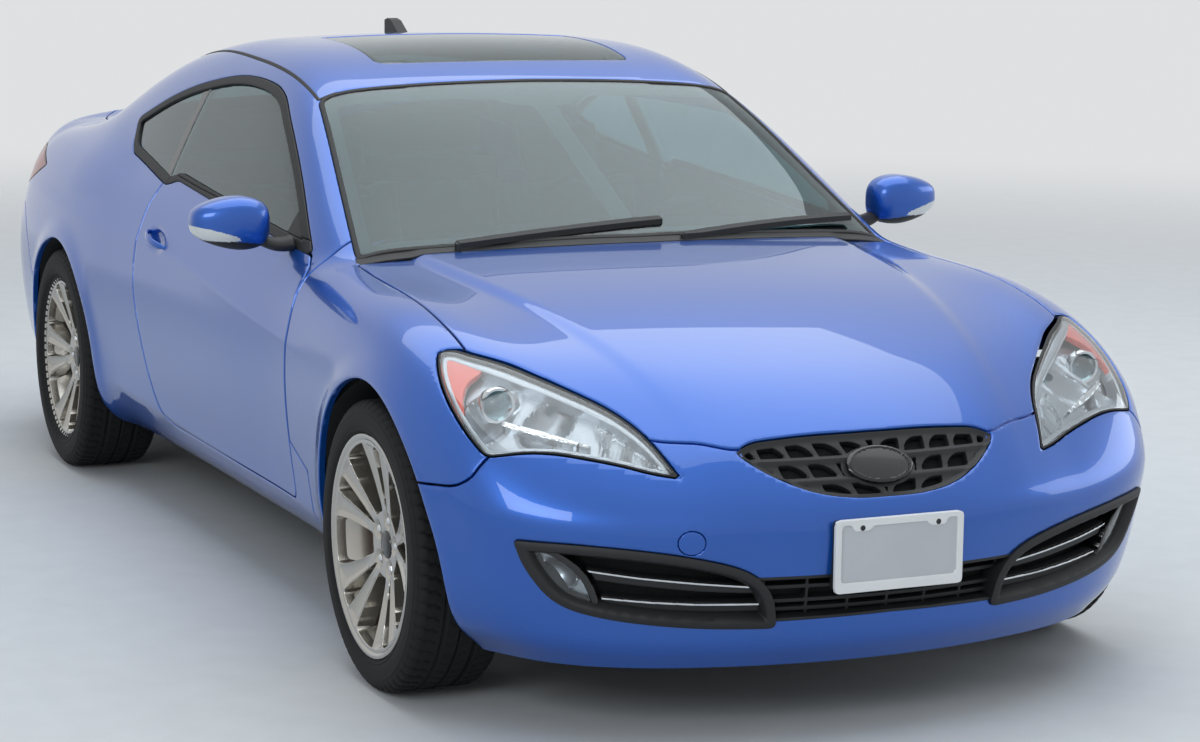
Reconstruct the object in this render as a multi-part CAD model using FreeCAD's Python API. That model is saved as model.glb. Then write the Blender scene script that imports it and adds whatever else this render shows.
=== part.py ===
# Two-door coupe car, built as separate panels, glass, wheels, suspension and cabin pieces.
# Millimetres. +X points forward, +Y to the car's left and +Z up. The origin is on the ground, midway along the car.
import FreeCAD, Part
import math
import os

os.makedirs("parts", exist_ok=True)
V = FreeCAD.Vector

# Driving dimensions
LENGTH = 4630.0
WHEELBASE = 2820.0
FRONT_OVERHANG = 805.0
NOSE_X = LENGTH / 2
PLATE_THICKNESS = 12.0   # the front plate stands on the nose and is the car's foremost point
NOSE_FACE_X = NOSE_X - PLATE_THICKNESS
TAIL_X = -NOSE_X
FRONT_AXLE_X = NOSE_X - FRONT_OVERHANG
REAR_AXLE_X = FRONT_AXLE_X - WHEELBASE
PANEL_GAP = 5.0          # shut line beside anything that opens
SEAT_GAP = 0.3           # air left where a moving piece runs on its seat

# Wheels
TRACK_FRONT = 1603.0
TRACK_REAR = 1618.0
TYRE_RADIUS_FRONT = 331.0
TYRE_RADIUS_REAR = 339.0
TYRE_WIDTH_FRONT = 225.0
TYRE_WIDTH_REAR = 245.0
RIM_RADIUS = 242.0       # bead seat of a 19 inch rim
RIM_LIP = 13.0           # height of the rim's outer flange
RIM_WALL = 9.0
RIM_WIDTH = 216.0
HUB_FACE = 27.0          # the hub's mounting face outboard of the wheel's middle
HUB_DEPTH = 38.0
HAT_DEPTH = 35.0
SPOKE_COUNT = 5
AXLE_RADIUS = 22.0
HUB_RADIUS = 72.0
DISC_RADIUS = 170.0
DISC_THICKNESS = 28.0
ARCH_RADIUS_FRONT = 380.0
ARCH_RADIUS_REAR = 376.0
WELL_INNER_Y = 500.0     # inboard wall of the wheel housings
KINGPIN_Y = 745.0
KNUCKLE_BOTTOM_Z = 200.0
KNUCKLE_TOP_Z = 470.0
CALIPER_RADIUS = 214.0

# Walls
CABIN_INNER_Y = 785.0    # inner face of the doors and of the side walls
SILL_INNER_Y = 690.0
SILL_TOP_Z = 297.0
SKIN_THICKNESS = 25.0
HOOD_THICKNESS = 26.0
LID_THICKNESS = 26.0
CABIN_WALL = 40.0
GLASS_THICKNESS = 6.0
NOSE_WALL = 45.0
FLOOR_TOP_Z = 205.0
REAR_SEAT_FLOOR_Z = 330.0
TRUNK_FLOOR_Z = 470.0
COWL_BOTTOM_Z = 850.0
UNDERTRAY_TOP_Z = 200.0
APRON_Y = 480.0
BAY_REAR_X = 1000.0
BAY_FRONT_X = 2060.0
BULKHEAD_REAR_X = -1180.0

# Doors
DOOR_FRONT_X = 835.0
DOOR_EDGE_RADIUS = 80.0  # the front edge turns about the hinge pins on this radius
DOOR_PIN_X = DOOR_FRONT_X - DOOR_EDGE_RADIUS
DOOR_PIN_Y = 850.0
DOOR_PIN_RADIUS = 7.0
DOOR_HINGE_Z = (500.0, 660.0)
LEAF_HALF = 20.0         # half height of a door hinge's leaf
DOOR_INNER_INSET = 15.0
DOOR_BOTTOM_Z = SILL_TOP_Z + PANEL_GAP

# Hood and trunk lid
HOOD_HINGE_X = 948.0
HOOD_HINGE_Z = 916.0
HOOD_LUG_Y = 655.0
LID_FRONT_X = -1643.0
LID_HINGE_X = -1628.0
LID_HINGE_Z = 1052.0
LID_LUG_Y = 400.0
LUG_RADIUS = 8.0
LUG_WIDTH = 16.0
LUG_PIN_RADIUS = 5.0
RUNNING_CLEARANCE = 0.05
CHANNEL_DEPTH = 22.0     # open channels in front of the windshield and behind the rear window


def box(x0, x1, y0, y1, z0, z1):
    return Part.makeBox(x1 - x0, y1 - y0, z1 - z0, V(x0, y0, z0))


def both_sides(shape):
    """The shape and its mirror image across the car's middle plane."""
    return [shape, shape.mirror(V(0, 0, 0), V(0, 1, 0))]


def mirrored(shape):
    return shape.mirror(V(0, 0, 0), V(0, 1, 0))


def cylinder_y(x, y, z, radius, length):
    """A cylinder along Y, centred on y."""
    return Part.makeCylinder(radius, length, V(x, y - length / 2, z), V(0, 1, 0))


def ring_y(x, y, z, outer, inner, length):
    return cylinder_y(x, y, z, outer, length).cut(cylinder_y(x, y, z, inner, length + 2))


def rod(start, end, radius):
    return Part.makeCylinder(radius, (end - start).Length, start, end - start)


def run(wire, grow, way):
    """The outline's face, grown all round by grow, run along the vector way."""
    face = Part.Face(wire)
    if grow:
        face = face.makeOffset2D(grow, 2)
    return face.extrude(way)


def prism_y(points, y0, y1, grow=0.0):
    """A side view outline of (x, z) points, run across from y0 to y1. A point that is a pair of pairs is an arc
    through its first to its second."""
    return run(outline(points, lambda p: V(p[0], y0, p[1])), grow, V(0, y1 - y0, 0))


def prism_z(points, z0, z1, grow=0.0):
    """A plan view outline of (x, y) points, run up from z0 to z1, with arcs as in prism_y."""
    return run(outline(points, lambda p: V(p[0], p[1], z0)), grow, V(0, 0, z1 - z0))


def prism_x(points, x0, x1, grow=0.0):
    """A front view outline of (y, z) points, run along from x0 to x1, with arcs as in prism_y."""
    return run(outline(points, lambda p: V(x0, p[0], p[1])), grow, V(x1 - x0, 0, 0))


def outline(points, place):
    edges = []
    here = place(points[0])
    for p in list(points[1:]) + [points[0]]:
        if isinstance(p[0], tuple):
            via, end = place(p[0]), place(p[1])
            edges.append(Part.Arc(here, via, end).toShape())
        else:
            end = place(p)
            if (end - here).Length < 1e-6:
                continue
            edges.append(Part.makeLine(here, end))
        here = end
    return Part.Wire(edges)


def section(x, sides, centre_z):
    """One closed cross-section: straight runs up each side through the (y, z) points, and an arc over the top."""
    left = [V(x, y, z) for y, z in sides]
    right = [V(x, -y, z) for y, z in sides]
    edges = [Part.makeLine(right[0], left[0])]
    edges += [Part.makeLine(a, b) for a, b in zip(left, left[1:])]
    edges.append(Part.Arc(left[-1], V(x, 0, centre_z), right[-1]).toShape())
    edges += [Part.makeLine(b, a) for a, b in reversed(list(zip(right, right[1:])))]
    return Part.Wire(edges)


def loft(rows, sides_of, centre_of):
    return Part.makeLoft([section(r[0], sides_of(r), centre_of(r)) for r in rows], True, False, False, 3)


# Lower body: bottom edge, lower side, waist crease, shoulder and hood or deck edge at each station.
# Columns: x, bottom y z, lower side y z, waist y z, shoulder y z, top edge y z, z at the middle
BODY = [
    (NOSE_FACE_X, 150, 330, 200, 370, 230, 470, 200, 540, 120, 562, 566),
    (2265, 240, 205, 290, 300, 315, 465, 290, 575, 170, 612, 620),
    (2190, 400, 190, 455, 290, 485, 465, 420, 610, 230, 645, 655),
    (2080, 570, 190, 640, 290, 675, 470, 590, 655, 320, 695, 705),
    (1950, 690, 190, 780, 300, 822, 480, 705, 722, 420, 748, 757),
    (1780, 745, 188, 850, 320, 893, 520, 790, 785, 500, 803, 812),
    (FRONT_AXLE_X, 770, 180, 880, 330, 918, 560, 812, 838, 600, 860, 872),
    (1150, 780, 180, 862, 310, 905, 590, 805, 884, 700, 904, 919),
    (700, 780, 180, 855, 295, 893, 610, 818, 900, 730, 922, 936),
    (0, 780, 180, 855, 295, 893, 625, 826, 925, 740, 938, 950),
    (-600, 785, 182, 862, 300, 905, 640, 838, 950, 750, 962, 972),
    (REAR_AXLE_X, 785, 195, 890, 330, 932.5, 655, 835, 968, 720, 1000, 1012),
    (-1750, 770, 220, 870, 350, 915, 665, 805, 985, 680, 1028, 1042),
    (-2050, 720, 245, 810, 370, 850, 665, 750, 985, 620, 1030, 1043),
    (-2210, 620, 262, 710, 385, 745, 650, 680, 960, 540, 1018, 1032),
    (-2290, 480, 290, 560, 400, 590, 620, 545, 850, 430, 925, 940),
    (TAIL_X, 330, 350, 390, 430, 410, 580, 380, 700, 280, 760, 770),
]
# Cabin above the belt: belt, middle of the glass and roof rail at each station.
# Columns: x, base y z, belt y z, mid glass y z, rail y z, z at the middle
CABIN = [
    (1010, 760, 700, 752, 880, 748, 893, 735, 903, 911),
    (900, 775, 700, 768, 890, 760, 912, 728, 936, 966),
    (600, 795, 700, 788, 910, 762, 990, 700, 1078, 1120),
    (240, 802, 700, 796, 930, 742, 1085, 655, 1225, 1287),
    (-150, 808, 700, 802, 945, 732, 1120, 630, 1290, 1377),
    (-550, 812, 700, 806, 955, 730, 1120, 622, 1292, 1380),
    (-950, 812, 700, 804, 965, 732, 1100, 635, 1235, 1322),
    (-1350, 800, 700, 790, 975, 740, 1055, 670, 1130, 1196),
    (-1700, 770, 700, 758, 985, 735, 1015, 700, 1040, 1062),
    (-1900, 740, 700, 725, 980, 715, 1005, 700, 1018, 1030),
]

# Outlines of the panels and windows, in plan view (x, y), side view (x, z) or front view (y, z)
HOOD_PLAN = [(957, -735), ((995, 0), (957, 735)), (1700, 745), (2063, 484), (2163, 317), ((2198, 0), (2163, -317)),
             (2063, -484), (1700, -745)]
LID_PLAN = [(LID_FRONT_X, -598), (LID_FRONT_X, 598), (-2060, 590), (-2200, 500), (-2240, 430), (-2400, 430),
            (-2400, -430), (-2240, -430), (-2200, -500), (-2060, -590)]
WINDSHIELD_PLAN = [(925, -726), ((968, 0), (925, 726)), (263, 600), ((229, 0), (263, -600))]
ROOF_PLAN = [(263, -600), ((229, 0), (263, 600)), ((-320, 588), (-905, 560)), ((-870, 0), (-905, -560)),
             ((-320, -588), (263, -600))]
REAR_WINDOW_PLAN = [(-905, -560), ((-870, 0), (-905, 560)), (-1560, 585), ((-1598, 0), (-1560, -585))]
DECK_CHANNEL_PLAN = [(-1560, -585), ((-1598, 0), (-1560, 585)), (-1638, 598), (-1638, -598)]
COWL_CHANNEL_PLAN = [(925, -726), ((968, 0), (925, 726)), (1002, 726), (1002, -726)]
SUNROOF_PLAN = [(85, -375), ((98, 0), (85, 375)), (-395, 375), (-395, -375)]
DOOR_SIDE = [(DOOR_FRONT_X, DOOR_BOTTOM_Z), (DOOR_FRONT_X, 790), ((815, 850), (757, 899)), (-427, 974), (-511, 954),
             (-545, 958), (-540, 701), (-482, 571), (-430, 417), ((-365, 330), (-240, DOOR_BOTTOM_Z))]
# A door hinge's bent leaf and the room it sweeps inside the door, from the hinge pin in plan view
LEAF_PLAN = [(5, 3), (47, -66), (95, -73), (95, -86), (39, -78), (-5, -3)]
LEAF_SWEEP_PLAN = [(-11, -8), (34, -84), (100, -100), (100, 24), (79, 21), (-2, 13)]
WINDOW_SIDE = [(757, 899), (-427, 974), (-511, 954), (-982, 1011), (-1083, 1099), ((-760, 1205), (-391, 1267)),
               ((-160, 1277), (71, 1257)), ((430, 1098), (757, 899))]
DOOR_GLASS_SIDE = [(735, 900.4), (-427, 974), (-511, 954), (-540, 957.5), (-500, 1235), (-391, 1260),
                   ((-160, 1270), (66, 1249)), ((424, 1090), (735, 900.4))]
QUARTER_GLASS_ZONE = [(-554, 900), (-507, 1300), (-1200, 1300), (-1200, 900)]
FRONT_SEAM_SIDE = [(1838, 100), (1838, 450), (1881, 543), (1985, 620), (2100, 700), (2400, 700), (2400, 100)]
REAR_SEAM_SIDE = [(-1690, 100), (-1690, 560), (-1740, 640), (-1900, 760), (-2400, 785), (-2400, 100)]
HEADLAMP_FRONT = [(795, 802), (830, 720), (806, 618), (620, 583), (440, 575), (484, 662), (640, 742)]
TAIL_LAMP_SIDE = [(-1730, 905), (-2000, 958), (-2400, 935), (-2400, 800), (-2000, 812)]
UPPER_GRILLE_FRONT = [(-322, 632), ((0, 508), (322, 632)), (322, 700), (-322, 700)]
SIDE_INTAKE_FRONT = [(258, 262), (600, 258), (700, 320), (775, 447), (640, 425), (400, 395), (300, 388)]
LOWER_GRILLE_FRONT = [(-250, 308), (250, 308), (280, 222), (-280, 222)]


def body_loft():
    return loft(BODY, lambda r: [(r[1], r[2]), (r[3], r[4]), (r[5], r[6]), (r[7], r[8]), (r[9], r[10])],
                lambda r: r[11])


def cabin_loft(inset=0.0):
    rows = [r for r in CABIN if inset == 0.0 or -1800 < r[0] < 1000]
    return loft(
        rows,
        lambda r: [(r[1] - inset, r[2]), (r[3] - inset, r[4]), (r[5] - inset, r[6] - inset / 3),
                   (r[7] - inset, r[8] - inset)],
        lambda r: r[9] - inset,
    )


def biggest(shape, count=1):
    """The largest solids of a cut, which leaves crumbs behind."""
    solids = sorted(shape.Solids, key=lambda s: -s.Volume)[:count]
    return solids[0] if count == 1 else Part.Compound(solids)


def save(name, shapes):
    """Writes one node. Several shapes go in as separate solids."""
    shapes = shapes if isinstance(shapes, list) else [shapes]
    solids = [s for shape in shapes for s in shape.Solids]
    for s in solids:
        if not s.isValid() or s.Volume <= 0:
            print("CHECK", name, "valid", s.isValid(), "volume", s.Volume)
    whole = solids[0] if len(solids) == 1 else Part.Compound(solids)
    whole.exportStep("parts/%s.step" % name)
    b = whole.BoundBox
    print("%-20s %2d solids  x %6.0f %6.0f  y %6.0f %6.0f  z %5.0f %5.0f  %.4f m3" % (
        name, len(solids), b.XMin, b.XMax, b.YMin, b.YMax, b.ZMin, b.ZMax, whole.Volume / 1e9))


def lowered(shape, x, y, z):
    """The shape moved, to cut the inner face of a skin."""
    return shape.translated(V(x, y, z))


body = body_loft()
cabin = cabin_loft()
outer = body.fuse(cabin)

# Spaces inside the shell
hood_space = prism_z(HOOD_PLAN, 400, 1150, PANEL_GAP).cut(lowered(body, 0, 0, -HOOD_THICKNESS - PANEL_GAP))
lid_space = prism_z(LID_PLAN, 785, 1200, PANEL_GAP).cut(
    lowered(outer, LID_THICKNESS + PANEL_GAP, 0, -LID_THICKNESS - PANEL_GAP))
front_trim = prism_z(
    [(DOOR_PIN_X, 1000), (DOOR_PIN_X, DOOR_PIN_Y + DOOR_EDGE_RADIUS),
     ((DOOR_PIN_X + DOOR_EDGE_RADIUS * math.sqrt(0.5), DOOR_PIN_Y + DOOR_EDGE_RADIUS * math.sqrt(0.5)),
      (DOOR_FRONT_X, DOOR_PIN_Y)), (900, DOOR_PIN_Y), (900, 1000)], 200, 1000)
edge = DOOR_EDGE_RADIUS + PANEL_GAP
body_trim = prism_z(
    [(DOOR_PIN_X, 1000), (DOOR_PIN_X, DOOR_PIN_Y + edge),
     ((DOOR_PIN_X + edge * math.sqrt(0.5), DOOR_PIN_Y + edge * math.sqrt(0.5)),
      (DOOR_PIN_X + edge, DOOR_PIN_Y)), (900, DOOR_PIN_Y), (900, 1000)], 200, 1000)
door_space = prism_y(DOOR_SIDE, CABIN_INNER_Y, 1000, PANEL_GAP).cut(body_trim)
window_space = prism_y(WINDOW_SIDE, 540, 1000)
wells = []
for x, z, radius in ((FRONT_AXLE_X, TYRE_RADIUS_FRONT, ARCH_RADIUS_FRONT),
                     (REAR_AXLE_X, TYRE_RADIUS_REAR, ARCH_RADIUS_REAR)):
    wells += both_sides(Part.makeCylinder(radius, 600, V(x, WELL_INNER_Y, z), V(0, 1, 0)))
cabin_room = cabin_loft(CABIN_WALL).common(box(-1560, 930, -800, 800, 905, 1400)).fuse([
    prism_y(DOOR_SIDE, -CABIN_INNER_Y, CABIN_INNER_Y, PANEL_GAP),
    box(-560, 960, -SILL_INNER_Y, SILL_INNER_Y, FLOOR_TOP_Z, COWL_BOTTOM_Z),
    box(-560, 880, -SILL_INNER_Y, SILL_INNER_Y, COWL_BOTTOM_Z, 910),
    box(-800, -560, -640, 640, FLOOR_TOP_Z, 940),
    box(-1150, -800, -APRON_Y, APRON_Y, REAR_SEAT_FLOOR_Z, 940),
    box(-1150, -800, -640, 640, 735, 940),
])
trunk_room = box(-2190, BULKHEAD_REAR_X, -APRON_Y, APRON_Y, TRUNK_FLOOR_Z, 925).fuse(
    prism_z(LID_PLAN, TRUNK_FLOOR_Z, 1200, -45).common(box(-2190, -1600, -600, 600, 0, 1200)))
under_room = box(-2200, -1180, -APRON_Y, APRON_Y, 100, TRUNK_FLOOR_Z - 40)
bay_room = box(BAY_REAR_X, BAY_FRONT_X, -APRON_Y, APRON_Y, UNDERTRAY_TOP_Z, 1000)
nose_room = lowered(outer, -NOSE_WALL, 0, 0).common(box(BAY_FRONT_X - 5, 2400, -560, 560, 222, 700))
rooms = [hood_space, lid_space, cabin_room, trunk_room, under_room, bay_room, nose_room]
fixed = outer.cut(rooms + both_sides(door_space) + both_sides(window_space) + wells)
print("fixed", fixed.isValid(), len(fixed.Solids), round(fixed.Volume / 1e9, 3))

# Fixed body pieces, each cut from the shell where the real panels meet
front_zone = prism_y(FRONT_SEAM_SIDE, -1000, 1000)
rear_zone = prism_y(REAR_SEAM_SIDE, -1000, 1000)
lamp_left = prism_x(HEADLAMP_FRONT, 1600, 2250)
tail_left = prism_y(TAIL_LAMP_SIDE, 433, 1000)
grille_zone = prism_x(UPPER_GRILLE_FRONT, 2100, 2400)
intake_left = prism_x(SIDE_INTAKE_FRONT, 1900, 2400)
lower_grille_zone = prism_x(LOWER_GRILLE_FRONT, 2100, 2400)
roof_zone = prism_z(ROOF_PLAN, 900, 1500)
windshield_zone = prism_z(WINDSHIELD_PLAN, 880, 1500)
rear_window_zone = prism_z(REAR_WINDOW_PLAN, 940, 1500)

side_zone = box(TAIL_X - 50, 840, 430, 1000, 100, 1500).cut([
    box(-800, 841, 400, SILL_INNER_Y, 0, 905), box(TAIL_X - 51, -1640, 400, APRON_Y, 0, 785),
    box(-1640, -799, 400, APRON_Y, 0, 940)])
sides = fixed.common(side_zone).cut([rear_zone, roof_zone, windshield_zone, rear_window_zone, tail_left,
                                     prism_z(DECK_CHANNEL_PLAN, 940, 1500)])
print("sides", [round(s.Volume / 1e6, 1) for s in sides.Solids])
side = biggest(sides)

post = box(840, BAY_REAR_X, SILL_INNER_Y, 790, FLOOR_TOP_Z, COWL_BOTTOM_Z)
fenders = fixed.common(box(840, 2250, APRON_Y, 1000, 100, 1150)).cut([
    front_zone, lamp_left, box(839, BAY_REAR_X, 400, 790, 0, COWL_BOTTOM_Z), windshield_zone,
    prism_z(COWL_CHANNEL_PLAN, COWL_BOTTOM_Z, 1200), box(839, BAY_REAR_X, 400, 726, 0, 1200)])
print("fenders", [round(s.Volume / 1e6, 1) for s in fenders.Solids])
fender = biggest(fenders)

nose = fixed.common(front_zone).common(box(1800, 2400, -1000, 1000, UNDERTRAY_TOP_Z - 60, 800)).cut(
    both_sides(lamp_left) + [grille_zone, lower_grille_zone] + both_sides(intake_left)
    + [box(1700, BAY_FRONT_X, -APRON_Y, APRON_Y, 0, 1000), box(2100, 2400, -600, 600, 700, 900)])
print("nose", [round(s.Volume / 1e6, 1) for s in nose.Solids])
tail = fixed.common(rear_zone).cut([box(-2180, -1600, -APRON_Y, APRON_Y, 0, 785)] + both_sides(tail_left))
print("tail", [round(s.Volume / 1e6, 1) for s in tail.Solids])

roof_shell = fixed.common(roof_zone)
sunroof_hole = prism_z(SUNROOF_PLAN, 1200, 1500)
sunroof = roof_shell.common(sunroof_hole).cut(lowered(outer, 0, 0, -GLASS_THICKNESS))
roof = roof_shell.cut([sunroof, prism_z(SUNROOF_PLAN, 1200, 1500, -25)])

save("body_side_left", side)
save("body_side_right", mirrored(side))
save("front_fenders", both_sides(fender))
save("front_bumper", biggest(nose))
tail = tail.cut([box(TAIL_X - 2, TAIL_X + 8, -152.5, 152.5, 540, 692)]
                + [rod(V(-2150, y, 292), V(-2400, y, 292), 40) for y in (-350, 350)])
save("rear_bumper", biggest(tail))
save("roof_panel", biggest(roof))
save("sunroof_glass", biggest(sunroof))

# Glass
windshield = outer.common(windshield_zone).cut(lowered(outer, 0, 0, -GLASS_THICKNESS))
rear_window = outer.common(rear_window_zone).cut(lowered(outer, 0, 0, -GLASS_THICKNESS))
inward = lowered(outer, 0, -GLASS_THICKNESS, 0)
door_glass = outer.common(prism_y(DOOR_GLASS_SIDE, 540, 1000)).cut(inward)
quarter_glass = outer.common(window_space).common(prism_y(QUARTER_GLASS_ZONE, 540, 1000)).cut(inward)
save("windshield", biggest(windshield))
save("rear_window", biggest(rear_window))
save("door_glass_left", biggest(door_glass))
save("door_glass_right", mirrored(biggest(door_glass)))
save("quarter_windows", both_sides(biggest(quarter_glass)))

# Hood and trunk lid
hood = body.common(prism_z(HOOD_PLAN, 400, 1150)).cut(lowered(body, 0, 0, -HOOD_THICKNESS))
lid = outer.common(prism_z(LID_PLAN, 790, 1200)).cut(lowered(outer, LID_THICKNESS, 0, -LID_THICKNESS))

# Doors: an outer skin over the whole outline, and behind it the door's depth, stepped in all round
door_lump = outer.common(prism_y(DOOR_SIDE, CABIN_INNER_Y, 1000)).cut(front_trim)
step = prism_y(DOOR_SIDE, 700, 1000, 1.0).cut(prism_y(DOOR_SIDE, 700, 1000, -DOOR_INNER_INSET))
door = door_lump.cut(step.common(lowered(outer, 0, -SKIN_THICKNESS, 0)))

# Lamps and grilles
headlamp = outer.common(lamp_left).cut([lowered(outer, -85, -30, -10), hood_space])
tail_lamp = outer.common(tail_left).cut([lowered(outer, 60, -40, 0), lid_space])
save("headlamps", both_sides(biggest(headlamp)))
save("tail_lamps", both_sides(biggest(tail_lamp)))
grille = outer.common(grille_zone).cut([lowered(outer, -40, 0, 0), hood_space]).common(lowered(outer, -15, 0, 0))
save("upper_grille", biggest(grille))
intakes = lowered(outer, -18, 0, 0).common(intake_left).cut(lowered(outer, -45, 0, 0))
low = lowered(outer, -18, 0, 0).common(lower_grille_zone).cut(lowered(outer, -45, 0, 0))
fog_space = Part.makeCylinder(50, 600, V(1850, 655, 335), V(1, 0, 0))
save("lower_grilles", [biggest(low)] + both_sides(biggest(intakes.cut(fog_space))))

# Floor, firewall and bulkhead
floor = outer.common(box(-830, 960, -SILL_INNER_Y, SILL_INNER_Y, 100, FLOOR_TOP_Z)).cut(
    [box(-831, 961, -85, 85, 100, 400), box(-831, -800, APRON_Y, 700, 100, 400), box(-831, -800, -700, -APRON_Y, 100, 400)])
floor = floor.fuse([
    box(-830, 960, -110, 110, FLOOR_TOP_Z - 20, REAR_SEAT_FLOOR_Z).cut(
        box(-831, 961, -85, 85, 100, REAR_SEAT_FLOOR_Z - 25)),
    box(-830, -800, -APRON_Y, APRON_Y, 190, REAR_SEAT_FLOOR_Z).cut(box(-831, -799, -85, 85, 100, 305)),
    box(-1180, -800, -APRON_Y, APRON_Y, REAR_SEAT_FLOOR_Z - 30, REAR_SEAT_FLOOR_Z),
    box(-1210, -1180, -APRON_Y, APRON_Y, REAR_SEAT_FLOOR_Z - 30, TRUNK_FLOOR_Z),
    box(-2180, -1180, -APRON_Y, APRON_Y, TRUNK_FLOOR_Z - 40, TRUNK_FLOOR_Z),
])
window_skin = windshield_zone.cut(lowered(outer, 0, 0, -GLASS_THICKNESS))
channel_skin = prism_z(COWL_CHANNEL_PLAN, 800, 1200).cut(lowered(outer, 0, 0, -CHANNEL_DEPTH))
cowl = fixed.common(box(840, BAY_REAR_X, -726, 726, COWL_BOTTOM_Z, 1200)).cut([window_skin, channel_skin])
hood_pin = (HOOD_HINGE_X, HOOD_HINGE_Z)
for y in (HOOD_LUG_Y, -HOOD_LUG_Y):
    cowl = cowl.cut(box(930, 1001, y - 14, y + 14, 870, 1100))
firewall = biggest(cowl).fuse([box(960, BAY_REAR_X, -SILL_INNER_Y, SILL_INNER_Y, FLOOR_TOP_Z, COWL_BOTTOM_Z)]
                              + both_sides(post))


def bracket(x, y, z, base_z):
    """Two cheeks and a pin that carry a hinge lug of LUG_WIDTH at y."""
    half = LUG_WIDTH / 2 + SEAT_GAP
    shape = cylinder_y(x, y, z, LUG_PIN_RADIUS, 2 * half + 16)
    for start in (y - half - 10, y + half):
        shape = shape.fuse([box(x - LUG_RADIUS, x + LUG_RADIUS, start, start + 10, base_z, z),
                            Part.makeCylinder(LUG_RADIUS, 10, V(x, start, z), V(0, 1, 0))])
    return shape


def lug(x, y, z, web):
    """A bored lug at y with a web, a side view outline, that joins it to its panel."""
    shape = cylinder_y(x, y, z, LUG_RADIUS, LUG_WIDTH).fuse(prism_y(web, y - LUG_WIDTH / 2, y + LUG_WIDTH / 2))
    return shape.cut(cylinder_y(x, y, z, LUG_PIN_RADIUS + RUNNING_CLEARANCE, LUG_WIDTH + 2))


def plan_of(points):
    """Plan view points given from the left door's hinge pin."""
    return [(DOOR_PIN_X + px, DOOR_PIN_Y + py) for px, py in points]


hinge_parts = []
pockets = []
for z in DOOR_HINGE_Z:
    leaf = prism_z(plan_of(LEAF_PLAN), z - LEAF_HALF, z + LEAF_HALF)
    barrel_half = LEAF_HALF + 20
    hinge_parts += both_sides(leaf.fuse([
        Part.makeCylinder(12, 2 * LEAF_HALF, V(DOOR_PIN_X, DOOR_PIN_Y, z - LEAF_HALF)),
        Part.makeCylinder(DOOR_PIN_RADIUS, 2 * barrel_half, V(DOOR_PIN_X, DOOR_PIN_Y, z - barrel_half))]))
    deep = LEAF_HALF + PANEL_GAP
    pockets += [prism_z(plan_of(LEAF_SWEEP_PLAN), z - deep, z + deep),
                Part.makeCylinder(19, 2 * deep, V(DOOR_PIN_X, DOOR_PIN_Y, z - deep)),
                Part.makeCylinder(DOOR_PIN_RADIUS + RUNNING_CLEARANCE, 2 * barrel_half + 4,
                                  V(DOOR_PIN_X, DOOR_PIN_Y, z - barrel_half - 2))]
firewall = firewall.fuse(hinge_parts + [bracket(HOOD_HINGE_X, y, HOOD_HINGE_Z, 860) for y in (HOOD_LUG_Y, -HOOD_LUG_Y)])
save("floor_pan", biggest(floor))
save("cowl_firewall", biggest(firewall))
save("undertray", biggest(outer.common(box(BAY_REAR_X, BAY_FRONT_X, -APRON_Y, APRON_Y, 100, UNDERTRAY_TOP_Z))))

window_skin = rear_window_zone.cut(lowered(outer, 0, 0, -GLASS_THICKNESS))
channel_skin = prism_z(DECK_CHANNEL_PLAN, 900, 1200).cut(lowered(outer, 0, 0, -CHANNEL_DEPTH))
deck = fixed.common(box(-1690, -1480, -600, 600, 925, 1200)).cut(
    [window_skin, channel_skin, side, mirrored(side)] + [box(-1660, -1608, y - 14, y + 14, 1020, 1200) for y in (LID_LUG_Y, -LID_LUG_Y)])
bulkhead = biggest(deck).fuse(
    [box(BULKHEAD_REAR_X, -1150, -APRON_Y, APRON_Y, REAR_SEAT_FLOOR_Z, 930),
     box(-1600, -1150, -APRON_Y, APRON_Y, 925, 950)]
    + [bracket(LID_HINGE_X, y, LID_HINGE_Z, 1000) for y in (LID_LUG_Y, -LID_LUG_Y)])
save("rear_bulkhead", biggest(bulkhead))

hood_web = [(945, 924), (966, 916), (985, 911), (985, 896), (962, 896), (945, 908)]
lid_web = [(-1628, 1060), (-1650, 1058), (-1672, 1052), (-1672, 1034), (-1646, 1034), (-1628, 1044)]
hood = biggest(hood).fuse([lug(HOOD_HINGE_X, y, HOOD_HINGE_Z, hood_web) for y in (HOOD_LUG_Y, -HOOD_LUG_Y)])
lid = biggest(lid).fuse([lug(LID_HINGE_X, y, LID_HINGE_Z, lid_web) for y in (LID_LUG_Y, -LID_LUG_Y)])
save("hood", biggest(hood))
save("trunk_lid", biggest(lid))
handle = rod(V(-385, 884, 812), V(-232, 880, 800), 9).fuse(
    [rod(V(-378, 850, 811), V(-378, 884, 811), 8), rod(V(-240, 850, 801), V(-240, 880, 801), 8)])
door = biggest(biggest(door).cut(pockets)).fuse(handle)
save("door_left", biggest(door))
save("door_right", mirrored(biggest(door)))

# Door mirrors
housing = Part.makeSphere(1.0)
stretch = FreeCAD.Matrix()
stretch.scale(58, 92, 58)
housing = housing.transformGeometry(stretch).translated(V(597, 968, 985)).common(
    box(545, 660, 890, 1058, 930, 1042))
foot = prism_x([(800, 905), (828, 890), (905, 935), (905, 985), (868, 970), (800, 925)], 600, 690)
mirror = housing.fuse(foot).cut(outer)
save("mirror_left", biggest(mirror))
save("mirror_right", mirrored(biggest(mirror)))

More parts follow.
